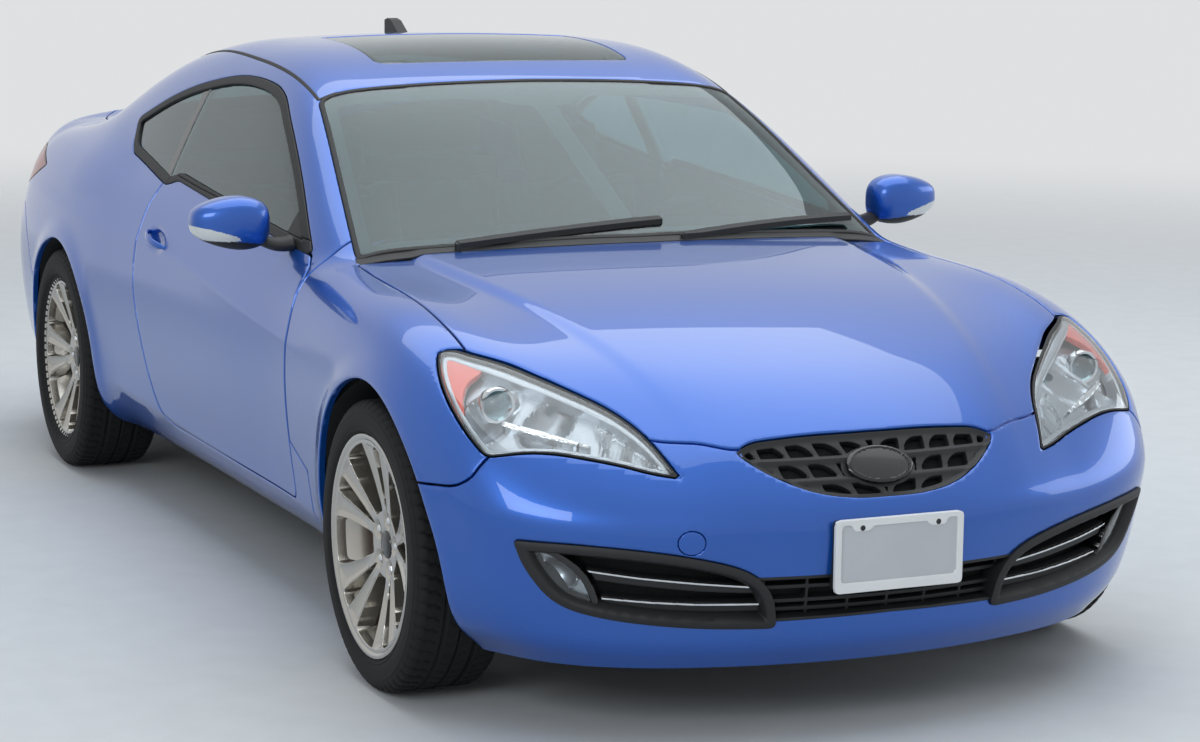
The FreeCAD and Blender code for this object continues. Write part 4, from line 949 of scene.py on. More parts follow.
# %% Wheels on the car
# x, y, radius, which is also the height of the axle, and the tyre's half width.
FRONT_WHEEL = (1.510, .8015, .331, .1125)
REAR_WHEEL = (-1.310, .809, .339, .1225)
WHEELS = (("front_left", FRONT_WHEEL, 1, .3), ("front_right", FRONT_WHEEL, -1, np.radians(10)),
          ("rear_left", REAR_WHEEL, 1, .9), ("rear_right", REAR_WHEEL, -1, np.radians(-20)))


def fitted(mesh, place, side, turn):
    """A wheel part turned about its axle, mirrored for the right side and moved to its place."""
    mesh = turned_y(mesh, turn)
    mesh = mesh if side > 0 else mirrored(*mesh)
    return moved(mesh, place[0], side * place[1], place[2])


for name, place, side, turn in WHEELS:
    body, half, radius = "wheel_" + name, place[3], place[2]
    piece("wheel_alloy_" + name, fitted(together(wheel_face, barrel), place, side, turn), alloy, body,
          "wheel_" + name, "wheel")
    piece("wheel_cap_" + name, fitted(cap, place, side, turn), gloss_trim, body, "wheel_" + name, "wheel")
    piece("wheel_nuts_" + name, fitted(nuts, place, side, turn), chrome, body, "wheel_" + name, "wheel")
    piece("valve_" + name, fitted(valve, place, side, turn), black_plastic, body, "wheel_" + name, "wheel")
    piece("brake_disc_" + name, fitted(disc, place, side, turn), iron_disc, body, "wheel_" + name, "wheel")
    piece("tyre_tread_" + name, fitted(tyre(half, radius), place, side, turn), rubber, body, "tyre_" + name,
          "tyre", sharp=40)

# %% [markdown]
# ## Linings behind the skins
# A real panel has an inner pressing: jambs, wheel-house liners, sills. The CAD solids already have those
# inner walls, so copies of their meshes are drawn in until they lie just behind the painted skin, and
# coloured by where each face is.

# %% CAD meshes drawn in
SUNK = .008             # how far behind the painted skin a lining lies
DRAWING_ROUNDS = 3


def cad_mesh(name):
    """A CAD node's points and triangles, its loose triangles merged at a hundredth of a millimetre."""
    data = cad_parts[name].data
    points = np.empty(len(data.vertices) * 3)
    data.vertices.foreach_get("co", points)
    data.calc_loop_triangles()
    faces = np.empty(len(data.loop_triangles) * 3, int)
    data.loop_triangles.foreach_get("vertices", faces)
    merged, back = np.unique(np.round(points.reshape(-1, 3), 5), axis=0, return_inverse=True)
    faces = back.reshape(-1)[faces].reshape(-1, 3)
    keep = (faces != np.roll(faces, 1, 1)).all(1)
    return merged, faces[keep]


def drawn_in(mesh, sunk=SUNK):
    """Points less than sunk behind the body's surface move back along its slope until they are."""
    points, faces = mesh
    for _ in range(DRAWING_ROUNDS):
        short = np.clip(sunk - whole_body(*points.T), 0, None)
        points = points - slope_of(whole_body, points) * short[:, None]
    return points, faces


def centres(mesh):
    """Middle and unit normal of each triangle."""
    a, b, c = (mesh[0][mesh[1][:, k]] for k in range(3))
    normal = np.cross(b - a, c - a)
    return (a + b + c) / 3, normal / np.clip(np.linalg.norm(normal, axis=1), 1e-12, None)[:, None]


def lining_finish(mesh):
    """0 paint, 1 liner and underseal, and painted shade: outward faces just behind the skin take the
    same black so that shut lines look dark, 2 cabin trim."""
    middle, normal = centres(mesh)
    x, y, z = middle.T
    which = np.zeros(len(middle), int)
    inward = -normal[:, 1] * np.sign(y)
    which[(inward > .5) & (np.abs(y) < .83) & (z > .34) & (x > -1.6) & (x < .84)] = 2
    which[(normal[:, 2] < -.6) & (z > 1.0)] = 2
    for ax, az, radius in AXLES:
        which[(np.hypot(x - ax, z - az) < radius + .025) & (np.abs(y) > .4)] = 1
    which[(z < .27) & (normal[:, 2] < -.3)] = 1
    # Painted shade: outward faces less than 45 mm inside the skin take the black underseal, so that shut
    # lines look dark.
    which[((normal * slope_of(whole_body, middle)).sum(1) > .6) & (whole_body(*middle.T) < .045)] = 1
    return which


# Nylon flock and moulded trim of the cabin: charcoal, quite rough.
cabin_trim = grained(finish("polypropylene_trim_moulded", "#2B2C2F", .7), 2.0, .12)
LINED = (("hood", "hood"), ("trunk_lid", "trunk_lid"), ("door_left", "door_left"),
         ("door_right", "door_right"), ("body_side_left", "car_body"), ("body_side_right", "car_body"),
         ("roof_panel", "car_body"), ("front_fenders", "car_body"), ("front_bumper", "car_body"),
         ("rear_bumper", "car_body"), ("cowl_firewall", "car_body"))
LINING_DEPTH = {"door_left": .022, "door_right": .022, "cowl_firewall": .030}
MOUTHS = [(HEADLAMP, -.004), (UPPER_GRILLE, -.002), (INTAKE, -.002), (LOWER_GRILLE, .002)]


def mouth_rule(outline, grow):
    """Keeps what is outside an opening in the nose. Behind x = 1.5 everything stays."""
    return lambda p: np.where(p[:, 0] > 1.5, -(beyond(ROUND(p), outline) - grow), -1.0)


for node, body in LINED:
    inner = drawn_in(cad_mesh(node), LINING_DEPTH.get(node, SUNK))
    if node in ("hood", "front_fenders", "front_bumper"):
        for outline, grow in MOUTHS:
            inner = tidy(*cut(*inner, mouth_rule(outline, grow)(inner[0])))
    piece(node + "_inner", inner, [blue_enamel, underseal_and_painted_shade, cabin_trim], body, node, "body_paint", sharp=25,
          which=lining_finish(inner))

cowl = panel(whole_body, top_rays, span(.885, 1.0, .005), span(-.75, .75, .010),
             [within(COWL_CHANNEL_PLAN, PLAN, .003)], roll=.002, flange=.020, lift=-.003)
piece("cowl_cover", cowl, black_plastic, "car_body", "cowl_firewall", "black_trim")

# %% [markdown]
# ## Glass
# Panes are bent from one curved sheet and held in black mouldings. Each pane is the body function again,
# sunk a little and given a second skin, so that light bends through it as through real glass. Lamps shine
# through it as shadow rays.

# %% Glass finishes


def glassy(name, colour, rough=.0, ior=1.5, through=None):
    """Transmission for what the eye sees, and a plain tinted opening for shadow rays, so lamps light what
    is behind."""
    made = finish(name, colour, rough, Transmission_Weight=1.0, IOR=ior)
    shader = made.node_tree.nodes["Principled BSDF"]
    wipe = add(made, "ShaderNodeTexNoise", [("Scale", 7.0), ("Detail", 3.0)],
               Vector=add(made, "ShaderNodeTexCoord").outputs["Object"])
    smear = add(made, "ShaderNodeMapRange", [("From Min", .45), ("From Max", .75), ("To Min", .0),
                                             ("To Max", .035)], Value=wipe.outputs["Fac"])
    made.node_tree.links.new(smear.outputs["Result"], shader.inputs["Roughness"])
    path = add(made, "ShaderNodeLightPath")
    opening = add(made, "ShaderNodeBsdfTransparent", [("Color", linear(through or colour))])
    mixed = add(made, "ShaderNodeMixShader", _0=path.outputs["Is Shadow Ray"], _1=shader.outputs[0],
                _2=opening.outputs[0])
    made.node_tree.links.new(mixed.outputs[0], made.node_tree.nodes["Material Output"].inputs["Surface"])
    return made


# Laminated and tempered float glass with a faint green body tint: very smooth.
pane_glass = glassy("float_glass_tempered", "#7FA3A8", ior=1.52)
# Polycarbonate lens, moulded and hard coated: clear.
clear_lens = glassy("polycarbonate_hard_coated", "#F3F6F7", ior=1.5)
# Acrylic lens, moulded in red.
red_lens = glassy("acrylic_red_moulded", "#B5121B", ior=1.49, through="#D83A3A")
# Vacuum-coated reflector: aluminium on plastic, almost a mirror.
reflector = grained(finish("aluminium_vapour_coated", "#A9AEB4", .30, .9), 9.0, .05, vary=.06)
# Amber acrylic side marker, moulded with prisms.
amber = grained(finish("acrylic_amber_moulded", "#D2452E", .22, Coat_Weight=.6), 3.0, .25, vary=.05)
# EPDM rubber weather strip, extruded: soft black.
weather_strip = grained(finish("epdm_extruded", "#121315", .6), 3.0, .03)


def thick(shape, depth):
    return lambda p: -depth * slope_of(shape, p)


def ring(outline, view, wide, out=.001):
    """Rules for a band along the inside of an outline."""
    return [within(outline, view, out), outside(outline, view, -wide)]


# %% Panes
fine = .022
PANES = (
    ("windshield_pane", "windshield", WINDSHIELD_PLAN, span(.20, .98, fine), span(-.74, .74, fine)),
    ("rear_window_pane", "rear_window", REAR_WINDOW_PLAN, span(-.85, -1.62, fine), span(-.60, .60, fine)),
    ("sunroof_pane", "sunroof_glass", SUNROOF_PLAN, span(.11, -.41, fine), span(-.385, .385, fine)))
SEALS = (
    ("windshield_seal", WINDSHIELD_PLAN, span(.20, .98, .009), span(-.75, .75, .009)),
    ("rear_window_seal", REAR_WINDOW_PLAN, span(-.85, -1.62, .009), span(-.61, .61, .009)))


def frit(outline, wide, has_band):
    """The baked black border: a band round the pane, and on the windshield a deeper top with a patch for
    the sensor."""
    def rule(p):
        edge = -beyond(PLAN(p), outline) - wide
        if not has_band:
            return edge
        top = p[:, 0] - .318
        patch = (np.hypot((p[:, 0] - .318) / .050, p[:, 1] / .135) - 1) * .05
        return np.minimum.reduce([edge, top, patch])
    return rule


for name, node, outline, u, v in PANES:
    edge = 0 if node == "sunroof_glass" else -.004
    piece(name, panel(cabin, pane_rays, u, v, [within(outline, PLAN, edge)], roll=.0015, lift=-.0015,
                      back=thick(cabin, .0045)), pane_glass, "car_body", node, "window_glass")
    wide = .010 if node == "sunroof_glass" else .040
    rules = [within(outline, PLAN, -.003), frit(outline, wide, node == "windshield")]
    piece(name + "_frit", panel(cabin, pane_rays, u, v, rules, roll=0, flange=0, lift=-.0075),
          gloss_trim, "car_body", node, "window_glass")
for name, outline, u, v in SEALS:
    piece(name, panel(cabin, pane_rays, u, v, ring(outline, PLAN, .011, .002), roll=.003, flange=.010,
                      lift=.0012), weather_strip, "car_body", slot="black_trim")

# %% [markdown]
# ## Side windows
# The daylight opening is one outline. A moulding follows it above, a belt strip closes it below, and the
# panes lie 5 mm inside them, as dropped glass does behind its seal.

# %% Side windows
SASH = .020
BELT_SIDE = rounded([(.80, .80, 0), (-.505, .80, 0), (-.505, .988, 0), (-.27, .972, .1), (.757, .925, 0),
                     (.80, .92, 0)])
SAIL_SIDE = rounded([(.77, .88, 0), (.545, .88, 0), (.580, 1.02, .01), (.60, 1.08, 0), (.77, 1.08, 0)])
side_u, side_v = span(-1.10, .78, .0105), span(.42, 1.16, .014)
sash = ring(WINDOW_SIDE, SIDE, SASH, .002)
upper = flank(side_u, side_v, sash + [outside(BELT_SIDE, SIDE, .001)], roll=.003, flange=.012, lift=.0025)
belt = flank(side_u, side_v, sash + [within(BELT_SIDE, SIDE)], roll=.003, flange=.012, lift=.0025)
sail = flank(span(.50, .78, .006), side_v, [within(WINDOW_SIDE, SIDE, -SASH - .001),
                                            within(SAIL_SIDE, SIDE)], roll=.003, flange=.012, lift=.001)
door_pane = flank(side_u, side_v, [within(WINDOW_SIDE, SIDE, -SASH - .0015), outside(SAIL_SIDE, SIDE, .001),
                                   lambda p: -.524 - p[:, 0]], roll=.001, lift=-.005,
                  back=thick(whole_body, .0045))
quarter = flank(side_u, side_v, [within(WINDOW_SIDE, SIDE, -SASH + .004), lambda p: p[:, 0] + .530],
                roll=.001, lift=-.005, back=thick(whole_body, .0045))
pillar = flank(span(-.585, -.505, .006), side_v, [within(WINDOW_SIDE, SIDE, -SASH + .003),
                                                  lambda p: np.abs(p[:, 0] + .553) - .0225], roll=.002,
               flange=.02, lift=-.0035)
for side_name, placed in SIDES:
    piece("window_moulding_" + side_name, placed(upper), weather_strip, "car_body", slot="black_trim")
    piece("belt_strip_" + side_name, placed(belt), weather_strip, "door_" + side_name, slot="black_trim")
    piece("mirror_sail_" + side_name, placed(sail), black_plastic, "door_" + side_name, slot="black_trim")
    piece("door_pane_" + side_name, placed(door_pane), pane_glass, "door_" + side_name,
          "door_glass_" + side_name, "window_glass")
    piece("middle_pillar_" + side_name, placed(pillar), gloss_trim, "car_body", slot="black_trim")
piece("quarter_panes", both_sides(quarter), pane_glass, "car_body", "quarter_windows", "window_glass")
ditch = panel(whole_body, top_rays, span(.27, -.93, .006), span(.50, .66, .003),
              [lambda p: np.abs(beyond(PLAN(p), ROOF_PLAN)) - .0042, lambda p: .545 - p[:, 1]], roll=.0015,
              flange=.004, lift=.0012)
piece("roof_ditch_strips", both_sides(ditch), weather_strip, "car_body", slot="black_trim")

# %% [markdown]
# ## Headlamps
# A lamp is a clear shell over a bright housing. The housing is one sheet behind the shell whose depth is a
# formula: a plain floor, two bowls, and a shelf. The projector, its ring and the amber wedge are pieces of
# their own.

# %% Headlamp
PROJECTOR = (.827, .700)
BOWL = (.710, .687)
WEDGE = rounded([(.992, .786, .004), (.965, .790, .01), (.888, .771, .004), (.900, .752, .01),
                 (.892, .728, .02), (.872, .700, .02), (.852, .668, .004), (.900, .704, .03),
                 (.960, .752, .03)])
TURN_CELL = rounded([(.627, .690, .01), (.585, .668, .02), (.500, .622, .02), (.448, .586, .004),
                     (.507, .595, .01), (.561, .608, .01), (.585, .645, .02)])
SHELF = rounded([(.793, .688, .002), (.715, .671, .02), (.610, .643, .001), (.612, .638, .001),
                 (.715, .660, .02), (.790, .679, .002)])


def bowl_depth(p, centre, radius, depth):
    """A paraboloid pressed back by depth, with a small lip at its rim."""
    q = np.hypot(*(ROUND(p) - centre).T) / radius
    return depth * np.clip(1 - q**2, 0, None) - .004 * np.exp(-((q - 1) / .07) ** 2)


def housing_depth(p):
    a, z = ROUND(p).T
    flutes = .0012 * np.cos(2 * np.pi * a / .011) * ease(.60 - a, -.04, .02)
    return -(.034 + bowl_depth(p, PROJECTOR, .052, .030) + bowl_depth(p, BOWL, .047, .034) + flutes)


lamp_u, lamp_v = span(.44, 1.18, .009), span(.56, .815, .0075)
lens = nose(lamp_u, lamp_v, [within(HEADLAMP, ROUND, -.0035)], roll=.002, lift=-.0005,
            back=thick(lower_body, .003))
gasket = nose(lamp_u, lamp_v, ring(HEADLAMP, ROUND, .0045, -.001), roll=.001, flange=.03, lift=-.0015)
border = nose(lamp_u, lamp_v, ring(HEADLAMP, ROUND, .014, -.005), roll=.003, flange=.028, lift=-.010)
housing = nose(span(.44, 1.18, .0055), span(.56, .815, .005), [within(HEADLAMP, ROUND, -.008)], roll=0,
               flange=0, lift=housing_depth)
wedge = nose(lamp_u, lamp_v, [within(WEDGE, ROUND)], roll=.002, flange=.012, lift=-.011)
turn_cell = nose(lamp_u, lamp_v, [within(TURN_CELL, ROUND)], roll=.002, flange=.012,
                 lift=lambda p: -.020 + .002 * np.cos(2 * np.pi * ROUND(p)[:, 0] / .012))
shelf = nose(lamp_u, lamp_v, [within(SHELF, ROUND)], roll=.003, flange=.020, lift=-.014)


def aimed(mesh, centre):
    """A mesh turned about Y is swung so that its axis points ahead along X, and moved to its centre."""
    x, y, z = mesh[0].T
    return np.stack([y, -x, z], 1) + centre, mesh[1]


eye_place = (1.862, .741, .700)
eye_ring = aimed(lathe([(-.012, .0400), (.004, .0400), (.007, .0385), (.006, .0330), (-.002, .0300),
                        (-.014, .0290)], 64), eye_place)
eye_glass = aimed(lathe([(-.008, .0305), (.000, .0295), (.010, .0240), (.0165, .0150), (.0190, .0060),
                         (.0192, .0003)], 48, closed=False), eye_place)
bulb = aimed(lathe([(-.030, .0100), (-.004, .0098), (.002, .0070), (.004, .0003)], 32, closed=False),
             (1.900, .627, .686))
for name, mesh, look in (
        ("lenses", lens, clear_lens), ("gaskets", gasket, weather_strip), ("borders", border, reflector),
        ("housings", housing, reflector), ("wedges", wedge, amber), ("turn_cells", turn_cell, clear_lens),
        ("shelves", shelf, chrome), ("rings", eye_ring, chrome), ("projectors", eye_glass, pane_glass),
        ("bulbs", bulb, pane_glass)):
    piece("headlamp_" + name, both_sides(mesh), look, "car_body", "headlamps", "lamp_lens")

# %% [markdown]
# ## Grilles and intakes
# Injection-moulded lattices. Each is one sheet with openings cut by a rule that repeats along it, walled
# back by a second skin, in front of a dark backing. A stack of thin boxes would miss the arched tops and
# the rounded bars.

# %% Upper grille
ROWS = ((.5365, .5600), (.5745, .5985), (.6130, .6375))
SCOOP_PITCH = .0660
SCOOP_WIDE = .0545
SCOOP_LEAN = .45
OVAL = (.0780, .0345)       # half length and half height of the plain oval where a badge would sit
OVAL_Z = .589


def off_oval(p):
    """1 on the oval's edge, less inside it."""
    a, z = ROUND(p).T
    return np.hypot(a / OVAL[0], (z - OVAL_Z) / OVAL[1])


def scoops(p):
    """Positive inside an opening: flat below, a quarter ellipse that rises from its inner end, and a
    leaning outer end."""
    a, z = ROUND(p).T
    best = np.full(len(a), -1.0)
    for k, (low, high) in enumerate(ROWS):
        across = (a - .010 - .022 * (k % 2) - SCOOP_LEAN * (z - low)) % SCOOP_PITCH
        t = np.clip(across / (SCOOP_WIDE * .62), 0, 1)
        top = low + (high - low) * np.sqrt(np.clip(1 - (1 - t) ** 2, 0, 1))
        best = np.maximum(best, np.minimum.reduce([across, SCOOP_WIDE - across, z - low, top - z]))
    inside = -(beyond(ROUND(p), UPPER_GRILLE) + .011)
    clear = (off_oval(p) - 1.12) * OVAL[1]
    return np.minimum.reduce([best, inside, clear])


def grille_lift(p):
    """Sunk 11 mm, with a proud rim all round and two proud bars between the rows."""
    a, z = ROUND(p).T
    edge = beyond(ROUND(p), UPPER_GRILLE)
    bars = sum(np.exp(-((z - middle) / .0055) ** 2) for middle in (.5670, .6055))
    return -.011 + .007 * np.exp(-(edge / .006) ** 2) + .005 * np.clip(bars, 0, 1)


nose_u = span(-.372, .372, .0044)
grille = nose(nose_u, span(.522, .656, .0034), [within(UPPER_GRILLE, ROUND, -.001), scoops], roll=.0015,
              lift=grille_lift, back=thick(lower_body, .014))
grille_back = nose(span(-.36, .36, .015), span(.525, .652, .012), [within(UPPER_GRILLE, ROUND, -.004)],
                   roll=0, flange=0, lift=-.034)
oval = nose(span(-.085, .085, .003), span(.545, .632, .003), [lambda p: (off_oval(p) - 1) * OVAL[1]],
            roll=.004, flange=.016, lift=lambda p: .001 - .0035 * (off_oval(p) < .86))
piece("upper_grille_lattice", grille, black_plastic, "car_body", "upper_grille", "black_trim")
piece("upper_grille_backing", grille_back, underseal_and_painted_shade, "car_body", "upper_grille", "black_trim")
piece("upper_grille_oval", oval, gloss_trim, "car_body", "upper_grille", "black_trim")

# %% Lower grille and intakes
LOW_BARS = (.290, .309, .341)
INTAKE_BEZEL = .030
BLADE_UP = [(.700, .404, .004), (.584, .386, .05), (.499, .373, .05), (.390, .360, .05), (.290, .350, .004),
            (.270, .329, .004), (.390, .336, .05), (.499, .350, .05), (.584, .362, .05), (.700, .380, .004)]
BLADE_DOWN = [(.700, .346, .004), (.568, .327, .05), (.481, .319, .05), (.389, .313, .05),
              (.262, .311, .004), (.262, .288, .004), (.389, .290, .05), (.481, .296, .05),
              (.568, .303, .05), (.700, .321, .004)]


def slots(p):
    """Positive in the openings between the horizontal bars and the thin upright ribs."""
    a, z = ROUND(p).T
    bars = np.min([np.abs(z - bar) - .0045 for bar in LOW_BARS], axis=0)
    ribs = np.abs((a + .044) % .088 - .044) - .0028
    return np.minimum(bars, ribs)


def bezel_lift(p):
    """A rounded bead: proud in its middle, sunk at both edges, deep at its inner edge."""
    edge = -beyond(ROUND(p), INTAKE)
    t = np.clip(edge / INTAKE_BEZEL, 0, 1)
    return -.004 + .013 * np.sqrt(np.clip(1 - (2 * t - .80) ** 2 / 1.45, 0, 1)) - .016 * ease(t, .55, 1.0)


low_u = span(-.345, .345, .0040)
low_rules = [within(LOWER_GRILLE, ROUND, .002), outside(INTAKE, ROUND, -.004)]
low_grille = nose(low_u, span(.266, .378, .0028), low_rules + [slots], roll=.0015, lift=-.022,
                  back=thick(lower_body, .020))
low_edge = nose(low_u, span(.262, .380, .0028), ring(LOWER_GRILLE, ROUND, .006, .001)
                + [outside(INTAKE, ROUND, -.004)], roll=.002, flange=.045, lift=.0005)
low_back = nose(span(-.36, .36, .015), span(.262, .380, .012), low_rules, roll=0, flange=0, lift=-.050)
mouth_u, mouth_v = span(.22, .86, .0048), span(.245, .462, .0045)
bezel = nose(mouth_u, mouth_v, ring(INTAKE, ROUND, INTAKE_BEZEL, -.0005), roll=0, flange=.050,
             lift=bezel_lift)
pit = nose(span(.22, .86, .012), span(.245, .462, .010), [within(INTAKE, ROUND, -.010)], roll=0, flange=0,
           lift=-.060)
blades, edges = [], []
for outline in (BLADE_UP, BLADE_DOWN):
    inside = within(INTAKE, ROUND, -.022)
    off_lamp = outside(FOG_LAMP, ROUND, .010)
    blades.append(nose(mouth_u, span(.28, .41, .0035), [within(rounded(outline), ROUND), inside, off_lamp],
                       roll=.004, lift=-.017, back=thick(lower_body, .022)))
    half = len(outline) // 2
    top = [(a, z - .0012) for a, z, _ in outline[:half]]
    bottom = [(a, z - .0062) for a, z, _ in outline[:half]]
    strip = within(rounded(top + bottom[::-1], .002), ROUND)
    edges.append(nose(mouth_u, span(.28, .41, .0025), [strip, inside, off_lamp], roll=.0015, flange=.004,
                      lift=-.0125))
fog_u, fog_v = span(.60, .83, .0045), span(.28, .45, .0045)
fog_lens = nose(fog_u, fog_v, [within(FOG_LAMP, ROUND, -.008)], roll=.002, lift=-.008,
                back=thick(lower_body, .003))
fog_frame = nose(fog_u, fog_v, ring(FOG_LAMP, ROUND, .010, .004), roll=.003, flange=.030, lift=-.006)
fog_bowl = nose(span(.60, .83, .0035), span(.28, .45, .0035), [within(FOG_LAMP, ROUND, -.004)], roll=0,
                flange=0, lift=lambda p: -.026 - bowl_depth(p, (.648, .372), .036, .026))
for name, mesh, look, node, group in (
        ("lower_grille_lattice", low_grille, black_plastic, "lower_grilles", "black_trim"),
        ("lower_grille_edge", low_edge, black_plastic, "lower_grilles", "black_trim"),
        ("lower_grille_backing", low_back, underseal_and_painted_shade, "lower_grilles", "black_trim"),
        ("intake_bezels", both_sides(bezel), black_plastic, "lower_grilles", "black_trim"),
        ("intake_backings", both_sides(pit), underseal_and_painted_shade, "lower_grilles", "black_trim"),
        ("intake_blades", both_sides(together(*blades)), black_plastic, "lower_grilles", "black_trim"),
        ("intake_blade_edges", both_sides(together(*edges)), chrome, "lower_grilles", "black_trim"),
        ("fog_lamp_lenses", both_sides(fog_lens), clear_lens, "fog_lamps", "lamp_lens"),
        ("fog_lamp_frames", both_sides(fog_frame), gloss_trim, "fog_lamps", "lamp_lens"),
        ("fog_lamp_bowls", both_sides(fog_bowl), reflector, "fog_lamps", "lamp_lens")):
    piece(name, mesh, look, "car_body", node, group)

# %% [markdown]
# ## Small parts that stand out from the body
# Mirrors, handles and plates are what the eye checks for scale. Each is a formula on a grid of its
# own: a boxy ellipsoid for the mirror, an oval section carried along a path for a bar, and pressed sheets
# for the plates.

# %% Swept bars


def swept(path, wide, high, up=(0, 0, 1), around=16):
    """A closed bar: an oval section, wide across and high along up, carried along the path. wide and high
    are numbers or one value for each point. Its ends are drawn to a point."""
    path = np.array(path, float)
    n = len(path)
    ahead = np.gradient(path, axis=0)
    ahead /= np.linalg.norm(ahead, axis=1)[:, None]
    across = np.cross(ahead, np.array(up, float))
    across /= np.linalg.norm(across, axis=1)[:, None]
    over = np.cross(across, ahead)
    turn = np.arange(around) * 2 * np.pi / around
    wide, high = np.full(n, wide) * 1.0, np.full(n, high) * 1.0
    ring_points = (path[:, None] + across[:, None] * (wide[:, None] * np.cos(turn))[..., None]
                   + over[:, None] * (high[:, None] * np.sin(turn))[..., None]).reshape(-1, 3)
    points = np.concatenate([ring_points, path[:1], path[-1:]])
    i, j = np.meshgrid(np.arange(n - 1), np.arange(around), indexing="ij")
    i, j = i.ravel(), j.ravel()
    a, b = i * around + j, i * around + (j + 1) % around
    c, d = b + around, a + around
    k = np.arange(around)
    start = np.stack([np.full(around, n * around), (k + 1) % around, k], 1)
    last = (n - 1) * around
    end = np.stack([np.full(around, n * around + 1), last + k, last + (k + 1) % around], 1)
    return points, np.concatenate([np.stack([a, b, c], 1), np.stack([a, c, d], 1), start, end])


def through(points, count=40):
    """A smooth path through a few points: each coordinate is a curve over the way along."""
    points = np.array(points, float)
    way = np.concatenate([[0], np.cumsum(np.linalg.norm(np.diff(points, axis=0), axis=1))])
    t = np.linspace(0, way[-1], count)
    return np.stack([curve(*zip(way, points[:, k]))(t) for k in range(3)], 1)


# %% Door handles
HANDLE_START = (-.285, .799)
HANDLE_END = (-.455, .829)
t = np.linspace(0, 1, 44)
hx = HANDLE_START[0] + (HANDLE_END[0] - HANDLE_START[0]) * t
hz = HANDLE_START[1] + (HANDLE_END[1] - HANDLE_START[1]) * t
foot = land(whole_body, *side_rays(hx, np.arctan2(hz - SIDE_LINE[1], .70)))
bar_path = np.stack([hx, foot[:, 1] - .010 + .036 * np.sin(np.pi * t) ** .45, hz], 1)
fat = np.clip(np.sin(np.pi * np.clip(t * 1.0, .015, .985)) ** .35, .2, 1)
handle = swept(bar_path, .0068 * fat, .0125 * fat, around=20)
for side_name, placed in SIDES:
    piece("door_handle_" + side_name, placed(handle), blue_enamel, "door_" + side_name, slot="body_paint")

# %% [markdown]
# ## Door mirrors
# The shell is a boxy ellipsoid with its underside in black and a lamp strip across its front. Colour goes
# by where each face is, because on the real shell these parts meet in flush joints.

# %% Mirrors
HEAD = ((.618, .957, .970), (.070, .100, .068))


def mirror_head(u, v):
    """A boxy ellipsoid, |x|^3 + |y|^3 + |z|^3 = 1 in its own lengths. It is flat behind, thinner towards
    its outer end, and its underside rises outward."""
    way = np.stack([np.cos(v) * np.cos(u), np.sin(v), np.cos(v) * np.sin(u)], 1)
    size = (np.abs(way) ** 3).sum(1) ** (-1 / 3)
    x, y, z = (way * size[:, None]).T
    x = np.where(x < 0, x * .62, x * (1 - .20 * ease(y, -.2, 1)))
    z = z * (1 - .30 * ease(y, -.3, 1.1)) + .05 * y
    (cx, cy, cz), (a, b, c) = HEAD
    return np.stack([cx + a * x, cy + b * y, cz + c * z], 1)


u, v = np.linspace(0, 2 * np.pi, 121), np.linspace(-np.pi / 2 + .001, np.pi / 2 - .001, 75)
rows, faces = comb(u, v)
head = (mirror_head(rows[:, 0], rows[:, 1]), faces)
middle, normal = centres(head)
if (normal * (middle - HEAD[0])).sum() < 0:
    head = (head[0], head[1][:, ::-1])
    middle, normal = centres(head)
line = .917 + .12 * (middle[:, 1] - .87)
tall = .016 * np.sqrt(np.clip((middle[:, 1] - .945) / .09, 0, 1))
strip = (np.abs(middle[:, 2] - .949 + .16 * (1.05 - middle[:, 1])) < tall) & (middle[:, 0] > .598)
head_look = np.where(middle[:, 2] < line, 1, 0)
head_look = np.where(strip, 2, head_look)
head_look = np.where(middle[:, 0] < .592, 1, head_look)
(cx, cy, cz), (a, b, c) = HEAD
glass_rows, glass_faces = comb(span(-.90, .90, .08), span(-.90, .90, .08))
gy, gz = glass_rows.T
gy, gz = gy * np.sqrt(1 - gz**2 / 2), gz * np.sqrt(1 - gy**2 / 2)
mirror_glass = (np.stack([cx - a * .62 - .0012 - .002 * (1 - gy**2 - gz**2), cy + b * .90 * gy,
                          cz + c * .86 * (gz * (1 - .12 * gy) + .10 * gy)], 1), glass_faces)
stalk = swept(through([(.640, .798, .915), (.632, .835, .912), (.622, .875, .924), (.618, .915, .940)], 24),
              np.linspace(.034, .024, 24), np.linspace(.020, .012, 24), around=24)
# Mirror plate: float glass silvered on its back, seen as one bright smooth face.
mirror_silver = grained(finish("float_glass_silvered", "#C9D0D6", .03, 1.0), 60.0, .002, vary=.01)
# Repeater lamp: fluted clear polycarbonate over a bright back, seen as one pale ribbed strip.
lamp_strip = grained(finish("polycarbonate_fluted", "#DDE0DE", .12, .35, Coat_Weight=1.0), 5.0, .5,
                     vary=.05)
for side_name, placed in SIDES:
    node, body = "mirror_" + side_name, "door_" + side_name
    piece("mirror_shell_" + side_name, placed(head), [blue_enamel, black_plastic, lamp_strip], body, node,
          "body_paint", which=head_look)
    piece("mirror_glass_" + side_name, placed(mirror_glass), mirror_silver, body, node, "body_paint")
    piece("mirror_stalk_" + side_name, placed(stalk), black_plastic, body, node, "body_paint")

# %% [markdown]
# ## Number plates
# A plate is a pressed sheet in a moulded surround with two screws. Both are flat outlines cut from a grid
# and walled back, as the panels are, so that their edges roll and their openings keep round corners.

# %% Number plates
# Aluminium sheet, pressed, enamelled and left blank: even pale grey.
plate_enamel = grained(finish("aluminium_plate_enamelled", "#C9CBCE", .38), 4.0, .02)
# White ABS surround, moulded: smooth and a little shiny.
plate_surround = grained(finish("abs_white_moulded", "#F0F0EE", .35), 3.0, .02)


